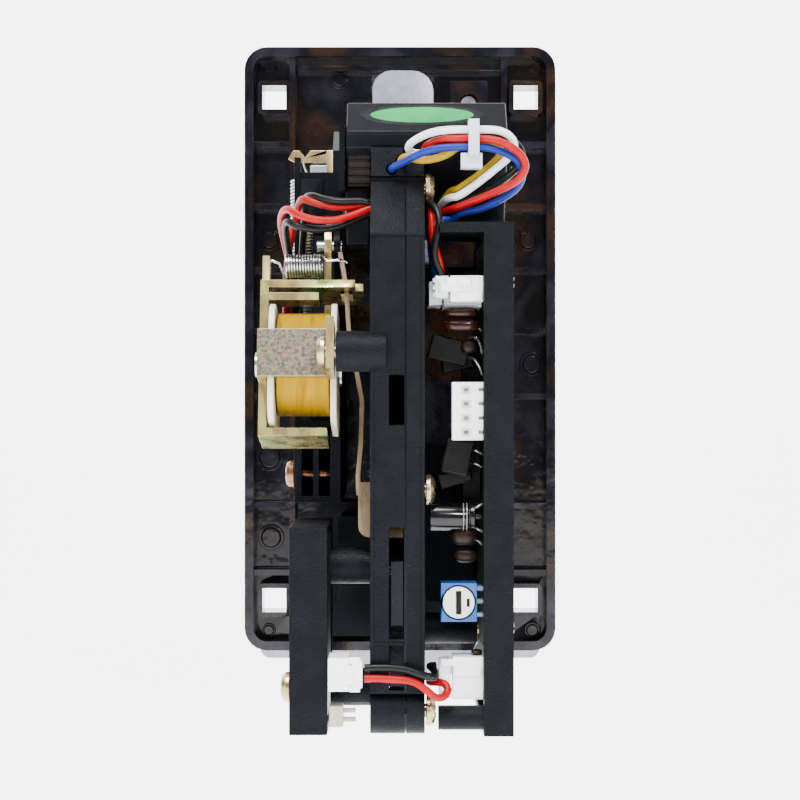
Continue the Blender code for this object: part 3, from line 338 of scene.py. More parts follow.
def add_box(bm, x, y, z):
    """A box between (low, high) pairs in x, y and z."""
    centre = Vector((sum(x) / 2, sum(y) / 2, sum(z) / 2))
    size = Matrix.Diagonal((x[1] - x[0], y[1] - y[0], z[1] - z[0], 1.0))
    return bmesh.ops.create_cube(bm, size=1.0, matrix=Matrix.Translation(centre) @ size)["verts"]


def add_rod(bm, start, end, radius, sides=16, end_radius=None):
    """A round bar between two points."""
    start = Vector(start)
    along = Vector(end) - start
    turn = along.to_track_quat("Z", "Y").to_matrix().to_4x4()
    made = bmesh.ops.create_cone(
        bm,
        cap_ends=True,
        segments=sides,
        radius1=radius,
        radius2=radius if end_radius is None else end_radius,
        depth=along.length,
        matrix=Matrix.Translation(start + along / 2) @ turn,
    )
    return made["verts"]


def smooth_points(route, step=0.5):
    """A Catmull-Rom curve through the route, with a point every step millimetres or so."""
    first = 2 * Vector(route[0]) - Vector(route[1])
    last = 2 * Vector(route[-1]) - Vector(route[-2])
    knots = [first] + [Vector(point) for point in route] + [last]
    found = []
    for a, b, c, d in zip(knots, knots[1:], knots[2:], knots[3:]):
        count = max(2, round((c - b).length / step))
        for index in range(count):
            t = index / count
            bend = 2 * a - 5 * b + 4 * c - d
            twist = 3 * b - a - 3 * c + d
            found.append(0.5 * (2 * b + t * (c - a) + t * t * bend + t * t * t * twist))
    found.append(Vector(route[-1]))
    return found


def tube(name, points, radius, material, body=ROOT, sides=12):
    """A round tube along points in millimetres, with closed ends."""
    bm = bmesh.new()
    rings = []
    normal = None
    for index, point in enumerate(points):
        before = points[max(index - 1, 0)]
        after = points[min(index + 1, len(points) - 1)]
        along = (after - before).normalized()
        if normal is None:
            normal = along.orthogonal().normalized()
        normal = (normal - along * normal.dot(along)).normalized()
        side = along.cross(normal)
        ring = []
        for step in range(sides):
            angle = 2 * math.pi * step / sides
            out = normal * math.cos(angle) + side * math.sin(angle)
            ring.append(bm.verts.new(point + out * radius))
        rings.append(ring)
    for first, second in zip(rings, rings[1:]):
        for step in range(sides):
            after = (step + 1) % sides
            bm.faces.new((first[step], first[after], second[after], second[step]))
    bm.faces.new(list(reversed(rings[0])))
    bm.faces.new(rings[-1])
    return piece(name, bm, material, body, bevel=0.0)


def body_name(node):
    for body, members in frame["record"]["behaviour"]["bodies"].items():
        if node in members:
            return body
    return ROOT


def refine(node, material, bevel=0.25, segments=3):
    """Shows a CAD solid with its sharp edges rounded, as a moulded or stamped piece has them."""
    source = frame["nodes"][node]
    bm = bmesh.new()
    bm.from_mesh(source.data)
    bmesh.ops.remove_doubles(bm, verts=bm.verts, dist=MERGE_WITHIN)
    bmesh.ops.dissolve_limit(bm, angle_limit=FLAT_WITHIN, verts=bm.verts, edges=bm.edges)
    mesh = bpy.data.meshes.new(node + "_shape")
    bm.to_mesh(mesh)
    bm.free()
    made = bpy.data.objects.new(node + "_shape", mesh)
    bpy.context.scene.collection.objects.link(made)
    finish_piece(made, material, body_name(node), bevel, segments)
    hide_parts(node)
    return made


# ---------------------------------------------------------------- wires

WIRE_RADIUS = 0.7
ROUTES = {
    "harness_wire_white": [
        (3.9, -48.5, 34.5), (2.6, -49.3, 34.5), (1.6, -50.6, 34.9), (1.8, -52.4, 35.6),
        (3.0, -54.2, 36.3), (5.0, -55.9, 37.0), (7.3, -57.0, 37.4), (10.0, -57.5, 37.5),
        (13.0, -57.5, 37.5), (15.7, -57.6, 37.5), (17.9, -57.3, 37.3), (19.7, -56.9, 36.4),
        (20.5, -56.4, 35.0), (20.2, -55.6, 33.6), (19.3, -55.0, 32.6), (17.2, -54.2, 30.9),
        (14.0, -53.6, 28.4), (10.7, -53.2, 26.2), (9.0, -51.3, 26.0), (7.85, -47.9, 25.4),
        (6.6, -45.2, 23.4), (5.75, -44.5, 21.0), (5.75, -44.2, 18.4), (6.1, -43.6, 15.0),
        (6.4, -43.0, 12.8), (6.45, -42.9, 11.25),
    ],
    "harness_wire_red": [
        (4.4, -50.2, 34.5), (4.7, -52.5, 35.2), (6.1, -55.2, 35.7), (8.2, -57.0, 35.9),
        (10.5, -57.6, 35.9), (13.0, -57.6, 35.95), (15.3, -57.9, 35.8), (17.3, -58.4, 35.4),
        (19.4, -58.6, 34.5), (21.2, -58.4, 33.2), (22.3, -57.9, 31.5), (22.1, -57.0, 29.8),
        (20.6, -56.2, 28.3), (18.2, -55.4, 27.1), (14.8, -54.6, 25.7), (11.0, -53.3, 24.3),
        (9.2, -51.9, 23.85), (7.6, -49.75, 23.35), (6.4, -48.4, 22.2), (5.75, -47.9, 20.5),
        (5.75, -47.8, 18.0), (6.1, -47.4, 15.0), (6.4, -47.0, 12.8), (6.45, -46.9, 11.25),
    ],
    "harness_wire_black": [
        (5.9, -48.4, 34.0), (6.1, -50.6, 34.9), (6.9, -53.0, 35.8), (8.5, -54.8, 36.5),
        (10.4, -55.8, 36.9), (13.1, -56.0, 36.95), (15.4, -55.9, 37.1), (17.6, -55.3, 37.0),
        (19.6, -54.9, 36.3), (21.1, -54.7, 35.2), (21.9, -54.6, 33.9), (21.9, -54.3, 32.4),
        (21.0, -54.0, 31.0), (19.2, -53.2, 29.5), (16.0, -52.6, 27.2), (12.6, -51.9, 25.9),
        (10.9, -51.4, 25.2), (9.3, -49.6, 24.7), (7.75, -48.1, 23.6), (6.5, -46.7, 22.3),
        (5.75, -46.2, 20.5), (5.75, -46.0, 18.0), (6.1, -45.5, 15.0), (6.4, -45.0, 12.8),
        (6.45, -44.9, 11.25),
    ],
    "harness_wire_blue": [
        (-1.5, -49.4, 31.4), (-1.5, -51.2, 31.4), (-0.8, -52.4, 31.7), (0.7, -54.0, 32.2),
        (3.6, -56.2, 33.4),
        (6.6, -57.4, 34.1), (10.0, -57.7, 34.4), (13.0, -57.6, 34.4), (15.4, -57.3, 34.35),
        (17.4, -57.2, 33.9), (19.4, -57.1, 33.1), (21.0, -56.6, 32.1), (21.9, -55.6, 30.6),
        (21.9, -54.8, 29.0), (20.9, -54.2, 27.3), (18.4, -53.3, 25.6), (14.9, -52.6, 24.0),
        (11.3, -51.7, 23.2), (9.2, -50.8, 22.25), (7.2, -50.7, 22.0), (6.1, -49.9, 21.3),
        (5.75, -49.6, 19.5), (5.9, -49.4, 16.5), (6.3, -49.1, 13.6), (6.45, -48.9, 11.25),
    ],
    "harness_wire_yellow": [
        (0.2, -49.4, 32.9), (0.2, -51.2, 32.9), (0.9, -52.4, 33.3), (2.2, -53.6, 32.9),
        (4.1, -54.4, 32.5),
        (6.3, -55.0, 32.7), (8.3, -55.6, 33.3), (10.1, -56.0, 34.4), (11.7, -56.0, 35.2),
        (13.3, -56.0, 35.35), (15.1, -55.8, 35.3), (16.9, -55.3, 34.9), (18.1, -54.7, 34.3),
        (18.2, -53.8, 33.6), (16.7, -52.6, 32.0), (13.9, -52.0, 29.8), (10.7, -51.4, 27.7),
        (9.5, -48.8, 27.5), (8.1, -45.6, 26.2), (6.6, -43.6, 23.6), (5.75, -42.8, 21.0),
        (5.75, -42.4, 18.2), (6.1, -41.7, 15.0), (6.4, -41.0, 12.8), (6.45, -40.9, 11.25),
    ],
    "coil_lead_red": [
        (-21.7, -38.6, 2.3), (-21.7, -36.4, 4.3), (-21.7, -35.4, 7.2), (-21.7, -35.2, 10.6),
        (-21.5, -35.8, 14.4), (-21.0, -37.4, 18.0), (-20.2, -39.8, 21.2), (-19.3, -42.8, 24.0),
        (-18.6, -45.8, 25.7), (-17.6, -48.4, 26.1), (-15.2, -50.0, 25.2), (-12.0, -50.7, 24.5),
        (-8.8, -50.8, 24.5), (-5.3, -50.8, 24.9), (-0.5, -50.8, 25.0), (4.2, -50.8, 25.0),
        (5.3, -51.7, 24.5), (5.7, -53.2, 23.3), (5.8, -54.2, 21.6), (5.8, -54.6, 19.6),
        (6.2, -54.9, 17.0), (7.0, -55.2, 14.2), (7.4, -55.2, 11.85),
    ],
    "coil_lead_black": [
        (-20.1, -38.6, 2.3), (-20.1, -36.4, 4.3), (-20.1, -35.4, 7.2), (-20.1, -35.3, 9.6),
        (-20.2, -35.9, 12.2), (-20.6, -37.6, 14.8), (-21.0, -40.3, 17.5), (-21.2, -43.4, 19.7),
        (-21.2, -46.4, 21.2), (-20.6, -49.0, 21.9), (-19.2, -50.8, 21.1), (-17.0, -51.3, 20.5),
        (-14.1, -51.4, 20.3), (-11.1, -51.2, 20.9), (-8.3, -50.9, 22.0), (-5.8, -50.8, 23.1),
        (-2.8, -50.8, 23.4), (0.5, -50.8, 23.4), (4.0, -50.8, 23.4), (5.2, -51.4, 23.0),
        (5.7, -52.3, 21.9), (5.8, -52.7, 20.0), (6.1, -53.0, 17.0), (6.9, -53.2, 14.2),
        (7.3, -53.2, 11.85),
    ],
    "link_lead_red": [
        (-6.25, -63.1, -59.7), (-4.3, -63.1, -59.7), (-2.2, -63.1, -59.8), (-0.2, -63.1, -59.9),
        (1.6, -63.1, -60.1), (3.2, -63.1, -60.7), (4.9, -63.0, -62.0), (6.3, -62.2, -63.2),
        (7.8, -61.0, -63.2), (8.5, -60.0, -62.1), (7.8, -59.1, -61.2), (6.5, -58.4, -61.1),
        (5.5, -57.0, -61.3), (5.3, -55.6, -61.4), (5.6, -54.5, -61.3), (6.4, -54.3, -61.2),
    ],
    "link_lead_black": [
        (-6.25, -63.1, -57.9), (-4.5, -63.1, -57.8), (-2.6, -63.1, -57.8), (-0.6, -63.1, -57.9),
        (1.4, -63.2, -58.2), (3.2, -63.3, -58.8), (4.9, -63.0, -59.4), (6.2, -61.6, -59.6),
        (6.2, -59.6, -59.0), (5.7, -58.0, -58.6), (5.4, -56.2, -58.6), (5.6, -54.9, -58.7),
        (6.4, -54.5, -58.7),
    ],
}


def make_wires():
    """The leads, each one from where it leaves a part to where it goes back into another. The
    two short ones between the link plugs are under the 30 mm that a free cord starts at."""
    for name, route in ROUTES.items():
        colour = name.rsplit("_", 1)[1]
        points = smooth_points(route)
        made = tube(name + "_smooth", points, WIRE_RADIUS, WIRE[colour])
        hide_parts(name)


# ---------------------------------------------------------------- springs


RETURN_SPRING = {"axis": (-19.4, -24.0), "z": (-6.0, 33.0), "turns": 58, "coil": 2.02, "wire": 0.27}
GATE_SPRING = {"x": (-3.0, 4.0), "turns": 13.5, "coil": 2.05, "wire": 0.26}
GATE_SPRING_PLACE = Vector((0.0, -1.4, 18.6))
SOLENOID_CENTRE = (-18.5, -46.0, -4.3)
SOLENOID_TILT = math.radians(-13)
SOLENOID = Matrix.Translation(SOLENOID_CENTRE) @ Matrix.Rotation(SOLENOID_TILT, 4, "X")


def helix(low, high, turns, radius, steps=14):
    """Points of a coil about the Z axis."""
    found = []
    for index in range(round(turns * steps) + 1):
        angle = 2 * math.pi * index / steps
        height = low + (high - low) * index / (turns * steps)
        found.append(Vector((radius * math.cos(angle), radius * math.sin(angle), height)))
    return found


def make_return_spring():
    """The long extension spring between the bracket's peg and the lever's notched strip."""
    low, high = RETURN_SPRING["z"]
    points = helix(low + 0.5, high - 0.5, RETURN_SPRING["turns"], RETURN_SPRING["coil"])
    lower_hook = [Vector((0.0, 0.0, low - 4.5)), Vector((0.8, 0.0, low - 4.0))]
    lower_hook += [Vector((1.0, 0.0, low - 1.8)), Vector((1.6, 0.0, low - 0.2))]
    upper_hook = [Vector((1.4, 0.0, high + 0.4)), Vector((0.6, 0.0, high + 2.2))]
    upper_hook += [Vector((0.2, 0.0, high + 4.4)), Vector((-0.6, 0.1, high + 4.9))]
    axis = Vector((*RETURN_SPRING["axis"], 0.0))
    line = [axis + point for point in lower_hook + points + upper_hook]
    made = tube("return_spring_coil", line, RETURN_SPRING["wire"], STEEL, body=None, sides=8)
    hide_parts("return_spring")
    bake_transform(made)


def make_gate_spring():
    """The short extension spring from the solenoid's post to the top of the gate lever."""
    turn = Matrix.Rotation(math.radians(90), 4, "Y")
    coil = helix(*GATE_SPRING["x"], GATE_SPRING["turns"], GATE_SPRING["coil"])
    body = [turn @ point for point in coil]
    left = [Vector((-5.8, 0.0, 0.6)), Vector((-5.4, 0.0, 1.1)), Vector((-4.0, 0.0, 0.6))]
    right = [Vector((4.8, 0.0, 1.0)), Vector((6.8, 0.0, 1.2)), Vector((8.7, 0.0, 0.7))]
    line = left + body + right
    line = [SOLENOID @ (point + GATE_SPRING_PLACE) for point in line]
    made = tube("gate_spring_coil", line, GATE_SPRING["wire"], STEEL, body=None, sides=8)
    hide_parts("gate_spring")
    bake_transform(made)


# ---------------------------------------------------------------- refined CAD pieces

REFINED = {
    "face_plate": (GLOSS_BLACK_PAINTED_REFLECTIONS, 0.35),
    "coin_entry_bezel": (SILVER, 0.5),
    "bezel_screw": (STEEL, 0.1),
    "return_button": (SILVER, 0.4),
    "return_cup": (SILVER, 0.6),
    "return_flap": (SMOOTH_BLACK, 0.25),
    "body_left_half": (ROUGH_BLACK, 0.3),
    "body_right_half": (ROUGH_BLACK, 0.3),
    "pullback_flap": (SMOOTH_BLACK, 0.25),
    "return_chute": (SATIN_BLACK, 0.35),
    "comparator_housing": (SATIN_BLACK, 0.35),
    "sensing_coil": (COPPER, 0.4),
    "sample_coin": (COIN, 0.25),
    "sample_clamp": (SMOOTH_BLACK, 0.25),
    "mechanism_bracket": (SATIN_BLACK, 0.2),
    "return_lever": (BRASS, 0.15),
    "lever_pin": (STEEL, 0.15),
    "solenoid_frame": (ZINC, 0.2),
    "solenoid_screw": (SCREW, 0.15),
    "coil_bobbin": (BOBBIN, 0.2),
    "coil_winding": (TAPE, 0.25),
    "solenoid_core": (STEEL, 0.2),
    "gate_lever": (BRONZE, 0.12),
    "main_board": (LAMINATE, 0.08),
    "board_cover": (ROUGH_BLACK, 0.35),
    "cover_screw_upper": (SCREW, 0.15),
    "cover_screw_lower": (SCREW, 0.15),
    "trimmer_body": (TRIM_BLUE, 0.12),
    "trimmer_rotor": (TRIM_WHITE, 0.15),
    "electrolytic_capacitor": (CAN, 0.15),
    "microcontroller": (CHIP_BLACK_WITH_PAINTED_SHADE, 0.15),
    "coil_header": (NYLON, 0.2),
    "coil_plug": (NYLON, 0.2),
    "harness_header": (NYLON, 0.2),
    "harness_plug": (NYLON, 0.2),
    "output_header": (NYLON, 0.15),
    "link_header_right": (NYLON, 0.2),
    "link_plug_right": (NYLON, 0.2),
    "link_header_left": (NYLON, 0.2),
    "link_plug_left": (NYLON, 0.2),
    "sensor_cover": (ROUGH_BLACK, 0.35),
    "sensor_board": (LAMINATE, 0.08),
    "light_sensor": (BEIGE, 0.15),
    "body_screw_upper": (SCREW, 0.15),
    "body_screw_lower": (SCREW, 0.15),
    "track_screw": (SCREW, 0.15),
    "bracket_screw": (COPPER_SCREW, 0.15),
    "sensor_cover_screw": (SCREW, 0.15),
    "zip_tie": (TIE, 0.15),
}


def make_refined_pieces():
    for node, (material, bevel) in REFINED.items():
        refine(node, material, bevel)


# ---------------------------------------------------------------- details the CAD leaves out

BARREL = (57.9, -66.2)
BARREL_RADII = (1.6, 3.9)
SEAM = (0.75, 1.25)
HEADER_PITCH = 2.54
HEADER_PINS = 4
FIRST_PIN_Z = -8.95
# The slope of the sensing box, from its rear edge to its top, as (y, z)
SLOPE_FOOT = (-48.0, 38.7)
SLOPE_TOP = (-41.3, 45.0)
STICKER_X = 4.1
STICKER_UP = 5.1
# Name, half its width, half its height, thickness and finish
STICKER_LAYERS = (
    ("sticker_film", 11.4, 3.3, 0.05, STICKER_FILM),
    ("sticker_oval", 9.6, 2.5, 0.12, STICKER_GREEN),
)
# Ejector marks inside the face plate, as (x, z, radius)
EJECTOR_MARKS = (
    (-27.8, 60.0, 1.5), (29.0, 59.8, 1.5), (-12.7, 57.4, 1.9), (-28.0, -59.9, 1.5),
    (28.2, -59.9, 1.7), (-27.5, -40.1, 2.8), (-27.8, -23.0, 3.0), (28.1, -3.2, 2.6),
    (-27.8, 23.3, 2.4), (27.2, 23.3, 2.4),
)
# Components on the control board, as (centre, size), and the transistors' lean in degrees
FILM_CAPACITORS = (((11.0, -50.6, 5.1), (6.6, 4.4, 2.1)), ((11.2, -51.6, 2.7), (6.8, 4.6, 2.2)))
TRANSISTORS = (
    ((9.0, -49.0, -1.7), (7.4, 3.6, 4.6), 14),
    ((10.6, -47.4, -3.9), (6.0, 3.2, 3.0), -10),
    ((10.4, -51.0, -21.2), (5.2, 3.8, 6.4), 12),
    ((10.0, -49.8, -24.9), (6.2, 3.2, 2.8), -16),
)
CERAMIC_CAPACITORS = (
    ((11.7, -51.2, -35.6), (5.0, 2.4, 3.4)),
    ((12.0, -50.2, -39.2), (4.4, 2.2, 2.6)),
    ((13.8, -54.4, -56.2), (2.0, 2.6, 0.9)),
    ((12.6, -50.8, -1.0), (3.0, 2.0, 2.6)),
)
EXTRA_ROUTES = {
    "harness_wire_green": [
        (20.6, -52.9, 31.2), (20.0, -52.6, 30.2), (18.6, -51.9, 28.8), (16.4, -51.2, 27.4),
        (13.8, -50.5, 26.2), (11.6, -49.7, 25.0), (10.4, -48.8, 24.0),
    ],
    "coil_lead_pair_red": [
        (-20.9, -37.2, 3.2), (-20.9, -34.6, 6.2), (-20.9, -33.9, 10.6), (-21.2, -34.6, 15.2),
        (-21.9, -37.2, 19.0), (-22.3, -41.0, 21.8), (-21.9, -45.2, 23.6), (-20.7, -48.9, 24.2),
        (-18.6, -51.6, 22.9), (-15.4, -53.0, 21.9), (-12.0, -53.0, 21.8), (-8.6, -52.2, 22.8),
        (-5.9, -51.7, 23.9), (-4.6, -51.5, 24.3),
    ],
    "coil_lead_pair_black": [
        (-19.2, -37.2, 3.2), (-19.2, -34.6, 6.2), (-18.9, -33.9, 12.0), (-18.6, -35.6, 18.4),
        (-18.0, -40.0, 23.4), (-17.6, -45.0, 26.2), (-16.4, -48.6, 26.7), (-13.8, -50.8, 25.8),
        (-10.8, -51.9, 25.3), (-7.6, -51.9, 25.4), (-5.8, -51.8, 25.2), (-4.6, -51.6, 25.0),
    ],
    "coil_lead_tail_black": [
        (4.0, -51.9, 25.2), (5.0, -53.2, 25.0), (6.2, -55.0, 24.0), (6.9, -56.2, 22.4),
        (7.0, -56.9, 20.4), (6.3, -57.0, 17.6), (6.2, -56.6, 14.6), (7.4, -55.9, 11.7),
    ],
}


def make_extra_wires():
    for name, route in EXTRA_ROUTES.items():
        colour = name.rsplit("_", 1)[1]
        tube(name, smooth_points(route), WIRE_RADIUS - 0.02, WIRE[colour])


def side_strip(bm, outline, low, high):
    """A flat outline of (depth, z) corners pushed along X."""
    near = [bm.verts.new((low, -depth, z)) for depth, z in outline]
    far = [bm.verts.new((high, -depth, z)) for depth, z in outline]
    bm.faces.new(near)
    bm.faces.new(list(reversed(far)))
    for index in range(len(outline)):
        after = (index + 1) % len(outline)
        bm.faces.new((near[index], far[index], far[after], near[after]))


def make_seam_tongue():
    """The tongue moulded along the parting line, which keeps light and dust out: down the rear
    wall, behind the top tab and round the barrel at the foot."""
    bm = bmesh.new()
    outer = [(50.4, 28.4), (51.4, 28.4), (61.7, 18.5), (61.7, -62.5)]
    inner = [(59.9, -62.5), (59.9, 17.9), (50.4, 27.2)]
    side_strip(bm, outer + inner, *SEAM)
    side_strip(bm, [(49.2, 31.7), (49.8, 31.7), (49.8, 27.6), (49.2, 27.6)], *SEAM)
    side_strip(bm, [(47.2, 33.2), (48.4, 33.2), (48.4, 31.2), (47.2, 31.2)], *SEAM)
    depth, z = BARREL
    hole, rim = BARREL_RADII
    for step in range(24):
        corners = []
        for radius, turn in ((hole, step), (rim, step), (rim, step + 1), (hole, step + 1)):
            angle = 2 * math.pi * turn / 24
            corners.append((depth + radius * math.cos(angle), z + radius * math.sin(angle)))
        side_strip(bm, corners, *SEAM)
    bmesh.ops.recalc_face_normals(bm, faces=bm.faces)
    piece("seam_tongue", bm, SMOOTH_BLACK, bevel=0.0)

    # The sill on the barrel, which turns an accepted coin forward as it drops out
    sill = bmesh.new()
    side_strip(sill, [(55.4, -63.0), (59.7, -63.0), (59.7, -60.9), (57.6, -60.9)], -1.9, 0.8)
    piece("channel_sill", sill, SMOOTH_BLACK, bevel=0.08)


def make_body_mouldings():
    """Raised lines on the rear of the track: the hub's step, the ribs beside the windows and
    the joint at the foot of the sloped face."""
    bm = bmesh.new()
    add_box(bm, (-5.2, 4.3), (-62.35, -61.6), (18.2, 18.75))
    add_box(bm, (-5.2, 0.7), (-62.3, -61.6), (-54.0, -53.6))
    for z in (-6.1, -15.9):
        add_box(bm, (-2.1, 0.8), (-62.2, -61.7), (z, z + 0.5))
    add_box(bm, (-5.25, -4.6), (-62.2, -61.6), (-62.4, 18.0))
    add_box(bm, (3.7, 4.35), (-62.2, -61.6), (-62.4, 18.0))
    piece("body_mouldings", bm, ROUGH_BLACK, bevel=0.15)


def make_sticker():
    """A blank green oval on a clear film, on the slope of the sensing box."""
    low = Vector((0.0, *SLOPE_FOOT))
    high = Vector((0.0, *SLOPE_TOP))
    along = (high - low).normalized()
    out = Vector((0.0, -along.z, along.y))
    middle = low + along * STICKER_UP + Vector((STICKER_X, 0.0, 0.0))
    for name, half_x, half_s, lift, material in STICKER_LAYERS:
        bm = bmesh.new()
        bottom = []
        top = []
        for step in range(64):
            angle = 2 * math.pi * step / 64
            spread = Vector((half_x * math.cos(angle), 0.0, 0.0))
            place = middle + spread + along * half_s * math.sin(angle)
            bottom.append(bm.verts.new(place - out * 0.05))
            top.append(bm.verts.new(place + out * lift))
        bm.faces.new(top)
        bm.faces.new(list(reversed(bottom)))
        for step in range(64):
            after = (step + 1) % 64
            bm.faces.new((bottom[step], bottom[after], top[after], top[step]))
        piece(name, bm, material, bevel=0.02)


def make_plate_marks():
    """Round ejector marks inside the face plate, each with a smaller step on it."""
    bm = bmesh.new()
    for x, z, radius in EJECTOR_MARKS:
        add_rod(bm, (x, 5.6, z), (x, 5.0, z), radius, 32)
        add_rod(bm, (x, 5.2, z), (x, 4.6, z), radius * 0.82, 32, radius * 0.7)
    piece("plate_ejector_marks", bm, GLOSS_BLACK_PAINTED_REFLECTIONS, bevel=0.15)


def make_header_details():
    """Pins, painted shade in their wells, and latches on the white connectors."""
    pins = bmesh.new()
    for index in range(HEADER_PINS):
        z = FIRST_PIN_Z - HEADER_PITCH * index
        add_box(pins, (11.4, 12.2), (-57.95, -57.2), (z - 0.34, z + 0.34))
        add_box(pins, (14.2, 14.9), (-57.3, -54.0), (z - 0.22, z + 0.22))
    piece("output_pins", pins, DULL_LEAD, bevel=0.08)
    # Darker nylon squares round the pins: painted shade in the wells where the pins enter the
    # header
    wells = bmesh.new()
    for index in range(HEADER_PINS):
        z = FIRST_PIN_Z - HEADER_PITCH * index
        add_box(wells, (10.9, 12.7), (-57.46, -57.2), (z - 0.75, z + 0.75))
    piece("output_pin_wells_painted_shade", wells, BOBBIN, bevel=0.08)

    shells = bmesh.new()
    # The coil header's stepped latch and the ribs on its plug
    add_box(shells, (8.4, 12.8), (-57.55, -56.8), (9.7, 11.1))
    add_box(shells, (10.4, 14.7), (-57.5, -56.8), (7.0, 8.4))
    add_box(shells, (7.2, 10.8), (-57.35, -56.3), (8.6, 10.0))
    for z in (7.7, 9.0, 10.3):
        add_box(shells, (5.85, 6.6), (-56.0, -53.0), (z, z + 0.8))
    # Latches of the two link plugs
    add_box(shells, (-8.9, -7.0), (-64.5, -64.0), (-61.9, -60.7))
    add_box(shells, (-8.9, -7.0), (-64.5, -64.0), (-57.0, -55.8))
    add_box(shells, (-9.4, -8.4), (-64.7, -63.0), (-60.6, -57.2))
    add_box(shells, (7.2, 9.8), (-57.3, -56.4), (-64.2, -63.0))
    add_box(shells, (7.2, 9.8), (-57.3, -56.4), (-58.4, -57.2))
    add_box(shells, (9.6, 14.6), (-57.5, -56.9), (-60.2, -58.6))
    # Shroud of the harness header, deeper than the coil plug
    add_box(shells, (8.4, 14.6), (-51.0, -50.3), (6.4, 9.4))
    piece("header_latches", shells, NYLON, bevel=0.18)


def add_capsule(bm, centre, size, squareness=0.62):
    """A dipped component's pillow shape: a ball pushed towards a box."""
    verts = bmesh.ops.create_uvsphere(bm, u_segments=28, v_segments=16, radius=1.0)["verts"]
    for vert in verts:
        place = vert.co.copy()
        for axis in range(3):
            value = place[axis]
            place[axis] = math.copysign(abs(value) ** squareness, value) * size[axis] / 2
        vert.co = place + Vector(centre)
    return verts


def make_board_components():
    """Dipped capacitors, small transistors and their bent leads on the control board."""
    films = bmesh.new()
    for centre, size in FILM_CAPACITORS:
        add_capsule(films, centre, size)
    piece("film_capacitors", films, AMBER_WITH_PAINTED_SHADE, bevel=0.0)

    dark = bmesh.new()
    for centre, size, lean in TRANSISTORS:
        turn = Matrix.Translation(centre) @ Matrix.Rotation(math.radians(lean), 4, "Y")
        verts = add_box(dark, (-0.5, 0.5), (-0.5, 0.5), (-0.5, 0.5))
        bmesh.ops.transform(dark, verts=verts, matrix=turn @ Matrix.Diagonal((*size, 1.0)))
    piece("transistor_bodies", dark, CHIP_BLACK_WITH_PAINTED_SHADE, bevel=0.5, segments=4)

    brown = bmesh.new()
    for centre, size in CERAMIC_CAPACITORS:
        add_capsule(brown, centre, size, 0.75)
    piece("ceramic_capacitors", brown, DISC_BROWN_WITH_PAINTED_SHADE, bevel=0.0)

    leads = [
        [(12.6, -51.4, 0.6), (13.8, -52.4, 0.5), (14.6, -52.3, -0.8), (14.9, -51.8, -2.4)],
        [(12.2, -50.4, -3.0), (13.4, -52.4, -3.4), (14.4, -52.6, -4.8), (14.9, -52.0, -6.2)],
        [(12.4, -51.0, -20.0), (13.8, -52.0, -20.0), (14.9, -51.6, -20.6)],
        [(12.6, -50.6, -22.4), (13.8, -51.6, -22.4), (14.9, -51.2, -23.0)],
        [(13.2, -53.4, -30.4), (14.2, -53.8, -30.0), (14.9, -53.4, -29.6)],
        [(13.2, -53.0, -33.8), (14.2, -53.4, -34.2), (14.9, -53.0, -34.6)],
        [(13.6, -51.8, -36.2), (14.4, -52.4, -36.6), (14.9, -51.8, -37.0)],
        [(13.4, -55.0, -55.6), (13.9, -55.6, -54.4), (14.5, -55.4, -54.0), (14.9, -55.0, -54.6)],
        [(14.0, -52.2, 2.4), (14.5, -52.8, 2.0), (14.9, -52.2, 1.6)],
    ]
    for index, route in enumerate(leads):
        tube(f"component_lead_{index}", smooth_points(route, 0.3), 0.22, DULL_LEAD, sides=8)


def make_capacitor_sleeve():
    """The light lines round the electrolytic capacitor's end, where its sleeve is crimped."""
    bm = bmesh.new()
    for x in (11.4, 12.0):
        add_rod(bm, (x, -52.0, -32.0), (x + 0.18, -52.0, -32.0), 2.54, 40)
    piece("capacitor_crimp", bm, BAND, bevel=0.03)


def make_trimmer_details():
    """The rotor's slot, a dark strip of painted shade, its dark stop mark, and the trimmer's three
    legs.
    """
    bm = bmesh.new()
    # The slot in the white rotor is drawn as a dark strip: painted shade inside the slot
    add_box(bm, (10.12, 10.88), (-57.36, -56.6), (-49.0, -45.1))
    piece("trimmer_slot_painted_shade", bm, CHIP_BLACK_WITH_PAINTED_SHADE, "trimmer", bevel=0.08)
    stop = bmesh.new()
    add_box(stop, (11.9, 12.5), (-57.34, -56.9), (-47.8, -46.3))
    piece("trimmer_stop_mark", stop, CHIP_BLACK_WITH_PAINTED_SHADE, "trimmer", bevel=0.08)
    legs = bmesh.new()
    for z in (-49.4, -47.0, -44.7):
        add_box(legs, (13.7, 15.0), (-55.6, -55.0), (z - 0.3, z + 0.3))
    piece("trimmer_legs", legs, DULL_LEAD, bevel=0.06)


def make_strap_face():
    """The coil strap's outer face, where the passivation shows its colours most."""
    bm = bmesh.new()
    add_box(bm, (-7.05, 6.85), (-11.42, -11.2), (-4.85, 3.85))
    bmesh.ops.transform(bm, verts=bm.verts, matrix=SOLENOID)
    piece("solenoid_strap_face", bm, STRAP_ZINC, bevel=0.1)


def make_box_side_details():
    """The ribbed block under the left of the sensing box, and the lip along its rear edge."""
    bm = bmesh.new()
    for index in range(4):
        low = 29.2 + 1.45 * index
        add_box(bm, (-9.6, -5.4), (-46.9, -45.9), (low, low + 0.9))
    add_box(bm, (-9.7, -5.5), (-46.6, -44.8), (28.6, 35.0))
    piece("box_ribs", bm, BROWN_BLACK, bevel=0.2)
    lid = bmesh.new()
    add_box(lid, (-9.8, 19.7), (-48.12, -47.8), (36.0, 38.2))
    piece("box_lip", lid, SATIN_BLACK, bevel=0.12)


# ---------------------------------------------------------------- stage


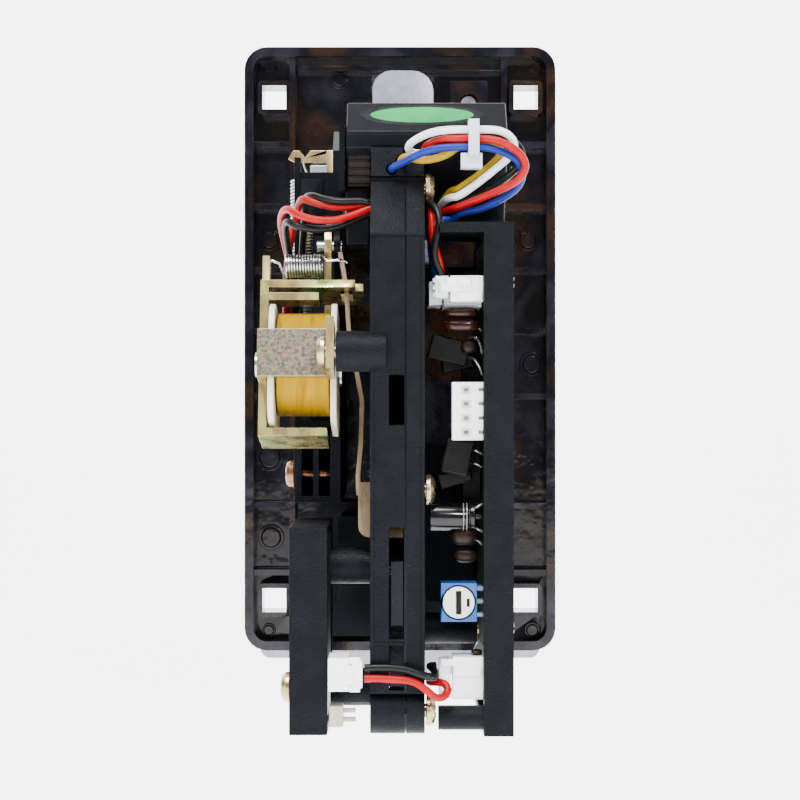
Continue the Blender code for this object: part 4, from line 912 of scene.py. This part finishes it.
FLOOR_Z = -0.16
WALL_START = 0.25
WALL_CURVE = 0.3
BACKDROP_GLOW = 3.0
WORLD_COLOUR = (0.92, 0.94, 1.0, 1.0)
WORLD_STRENGTH = 0.45
LIT_POINT = Vector((0.0, -0.03, -0.01))
# Name, place and size in metres, and power in watts
LIGHTS = (
    ("key", (-0.10, -0.30, 0.50), 0.30, 9.0),
    ("side", (0.45, -0.35, 0.10), 0.25, 2.4),
    ("front_fill", (-0.40, -0.50, -0.05), 0.40, 2.4),
    ("strip", (0.16, -0.62, 0.34), 0.06, 2.4),
)


def make_stage():
    """A pale floor that curves up into a wall, a soft world and four area lights."""
    profile = [(-2.0, FLOOR_Z), (WALL_START, FLOOR_Z)]
    for step in range(1, 13):
        angle = math.radians(90 * step / 12)
        out = WALL_CURVE * math.sin(angle)
        up = WALL_CURVE * (1 - math.cos(angle))
        profile.append((WALL_START + out, FLOOR_Z + up))
    profile.append((WALL_START + WALL_CURVE, 2.0))
    bm = bmesh.new()
    rows = [[bm.verts.new((x, y, z)) for x in (-2.5, 2.5)] for y, z in profile]
    for first, second in zip(rows, rows[1:]):
        bm.faces.new((first[0], first[1], second[1], second[0]))
    mesh = bpy.data.meshes.new("backdrop")
    bm.to_mesh(mesh)
    bm.free()
    mesh.shade_smooth()
    backdrop = bpy.data.objects.new("backdrop", mesh)
    bpy.context.scene.collection.objects.link(backdrop)
    paper = surface("backdrop_paper", [grey(0.90), grey(0.92)], 0.9, mottle=3, grain=200, bump=0.02)
    shader = paper.node_tree.nodes["Principled BSDF"]
    shader.inputs["Emission Color"].default_value = (1.0, 1.0, 1.0, 1.0)
    shader.inputs["Emission Strength"].default_value = BACKDROP_GLOW
    mesh.materials.append(paper)

    world = bpy.data.worlds.new("studio")
    world.use_nodes = True
    world.node_tree.nodes["Background"].inputs["Color"].default_value = WORLD_COLOUR
    world.node_tree.nodes["Background"].inputs["Strength"].default_value = WORLD_STRENGTH
    bpy.context.scene.world = world
    for name, place, size, power in LIGHTS:
        data = bpy.data.lights.new(name, "AREA")
        data.size = size
        data.energy = power
        lamp = bpy.data.objects.new(name, data)
        lamp.location = place
        lamp.rotation_euler = (LIT_POINT - Vector(place)).to_track_quat("-Z", "Y").to_euler()
        bpy.context.scene.collection.objects.link(lamp)


# ---------------------------------------------------------------- whole scene

make_wires()
make_return_spring()
make_gate_spring()
make_refined_pieces()
make_extra_wires()
make_seam_tongue()
make_body_mouldings()
make_sticker()
make_plate_marks()
make_header_details()
make_board_components()
make_capacitor_sleeve()
make_trimmer_details()
make_strap_face()
make_box_side_details()
make_stage()
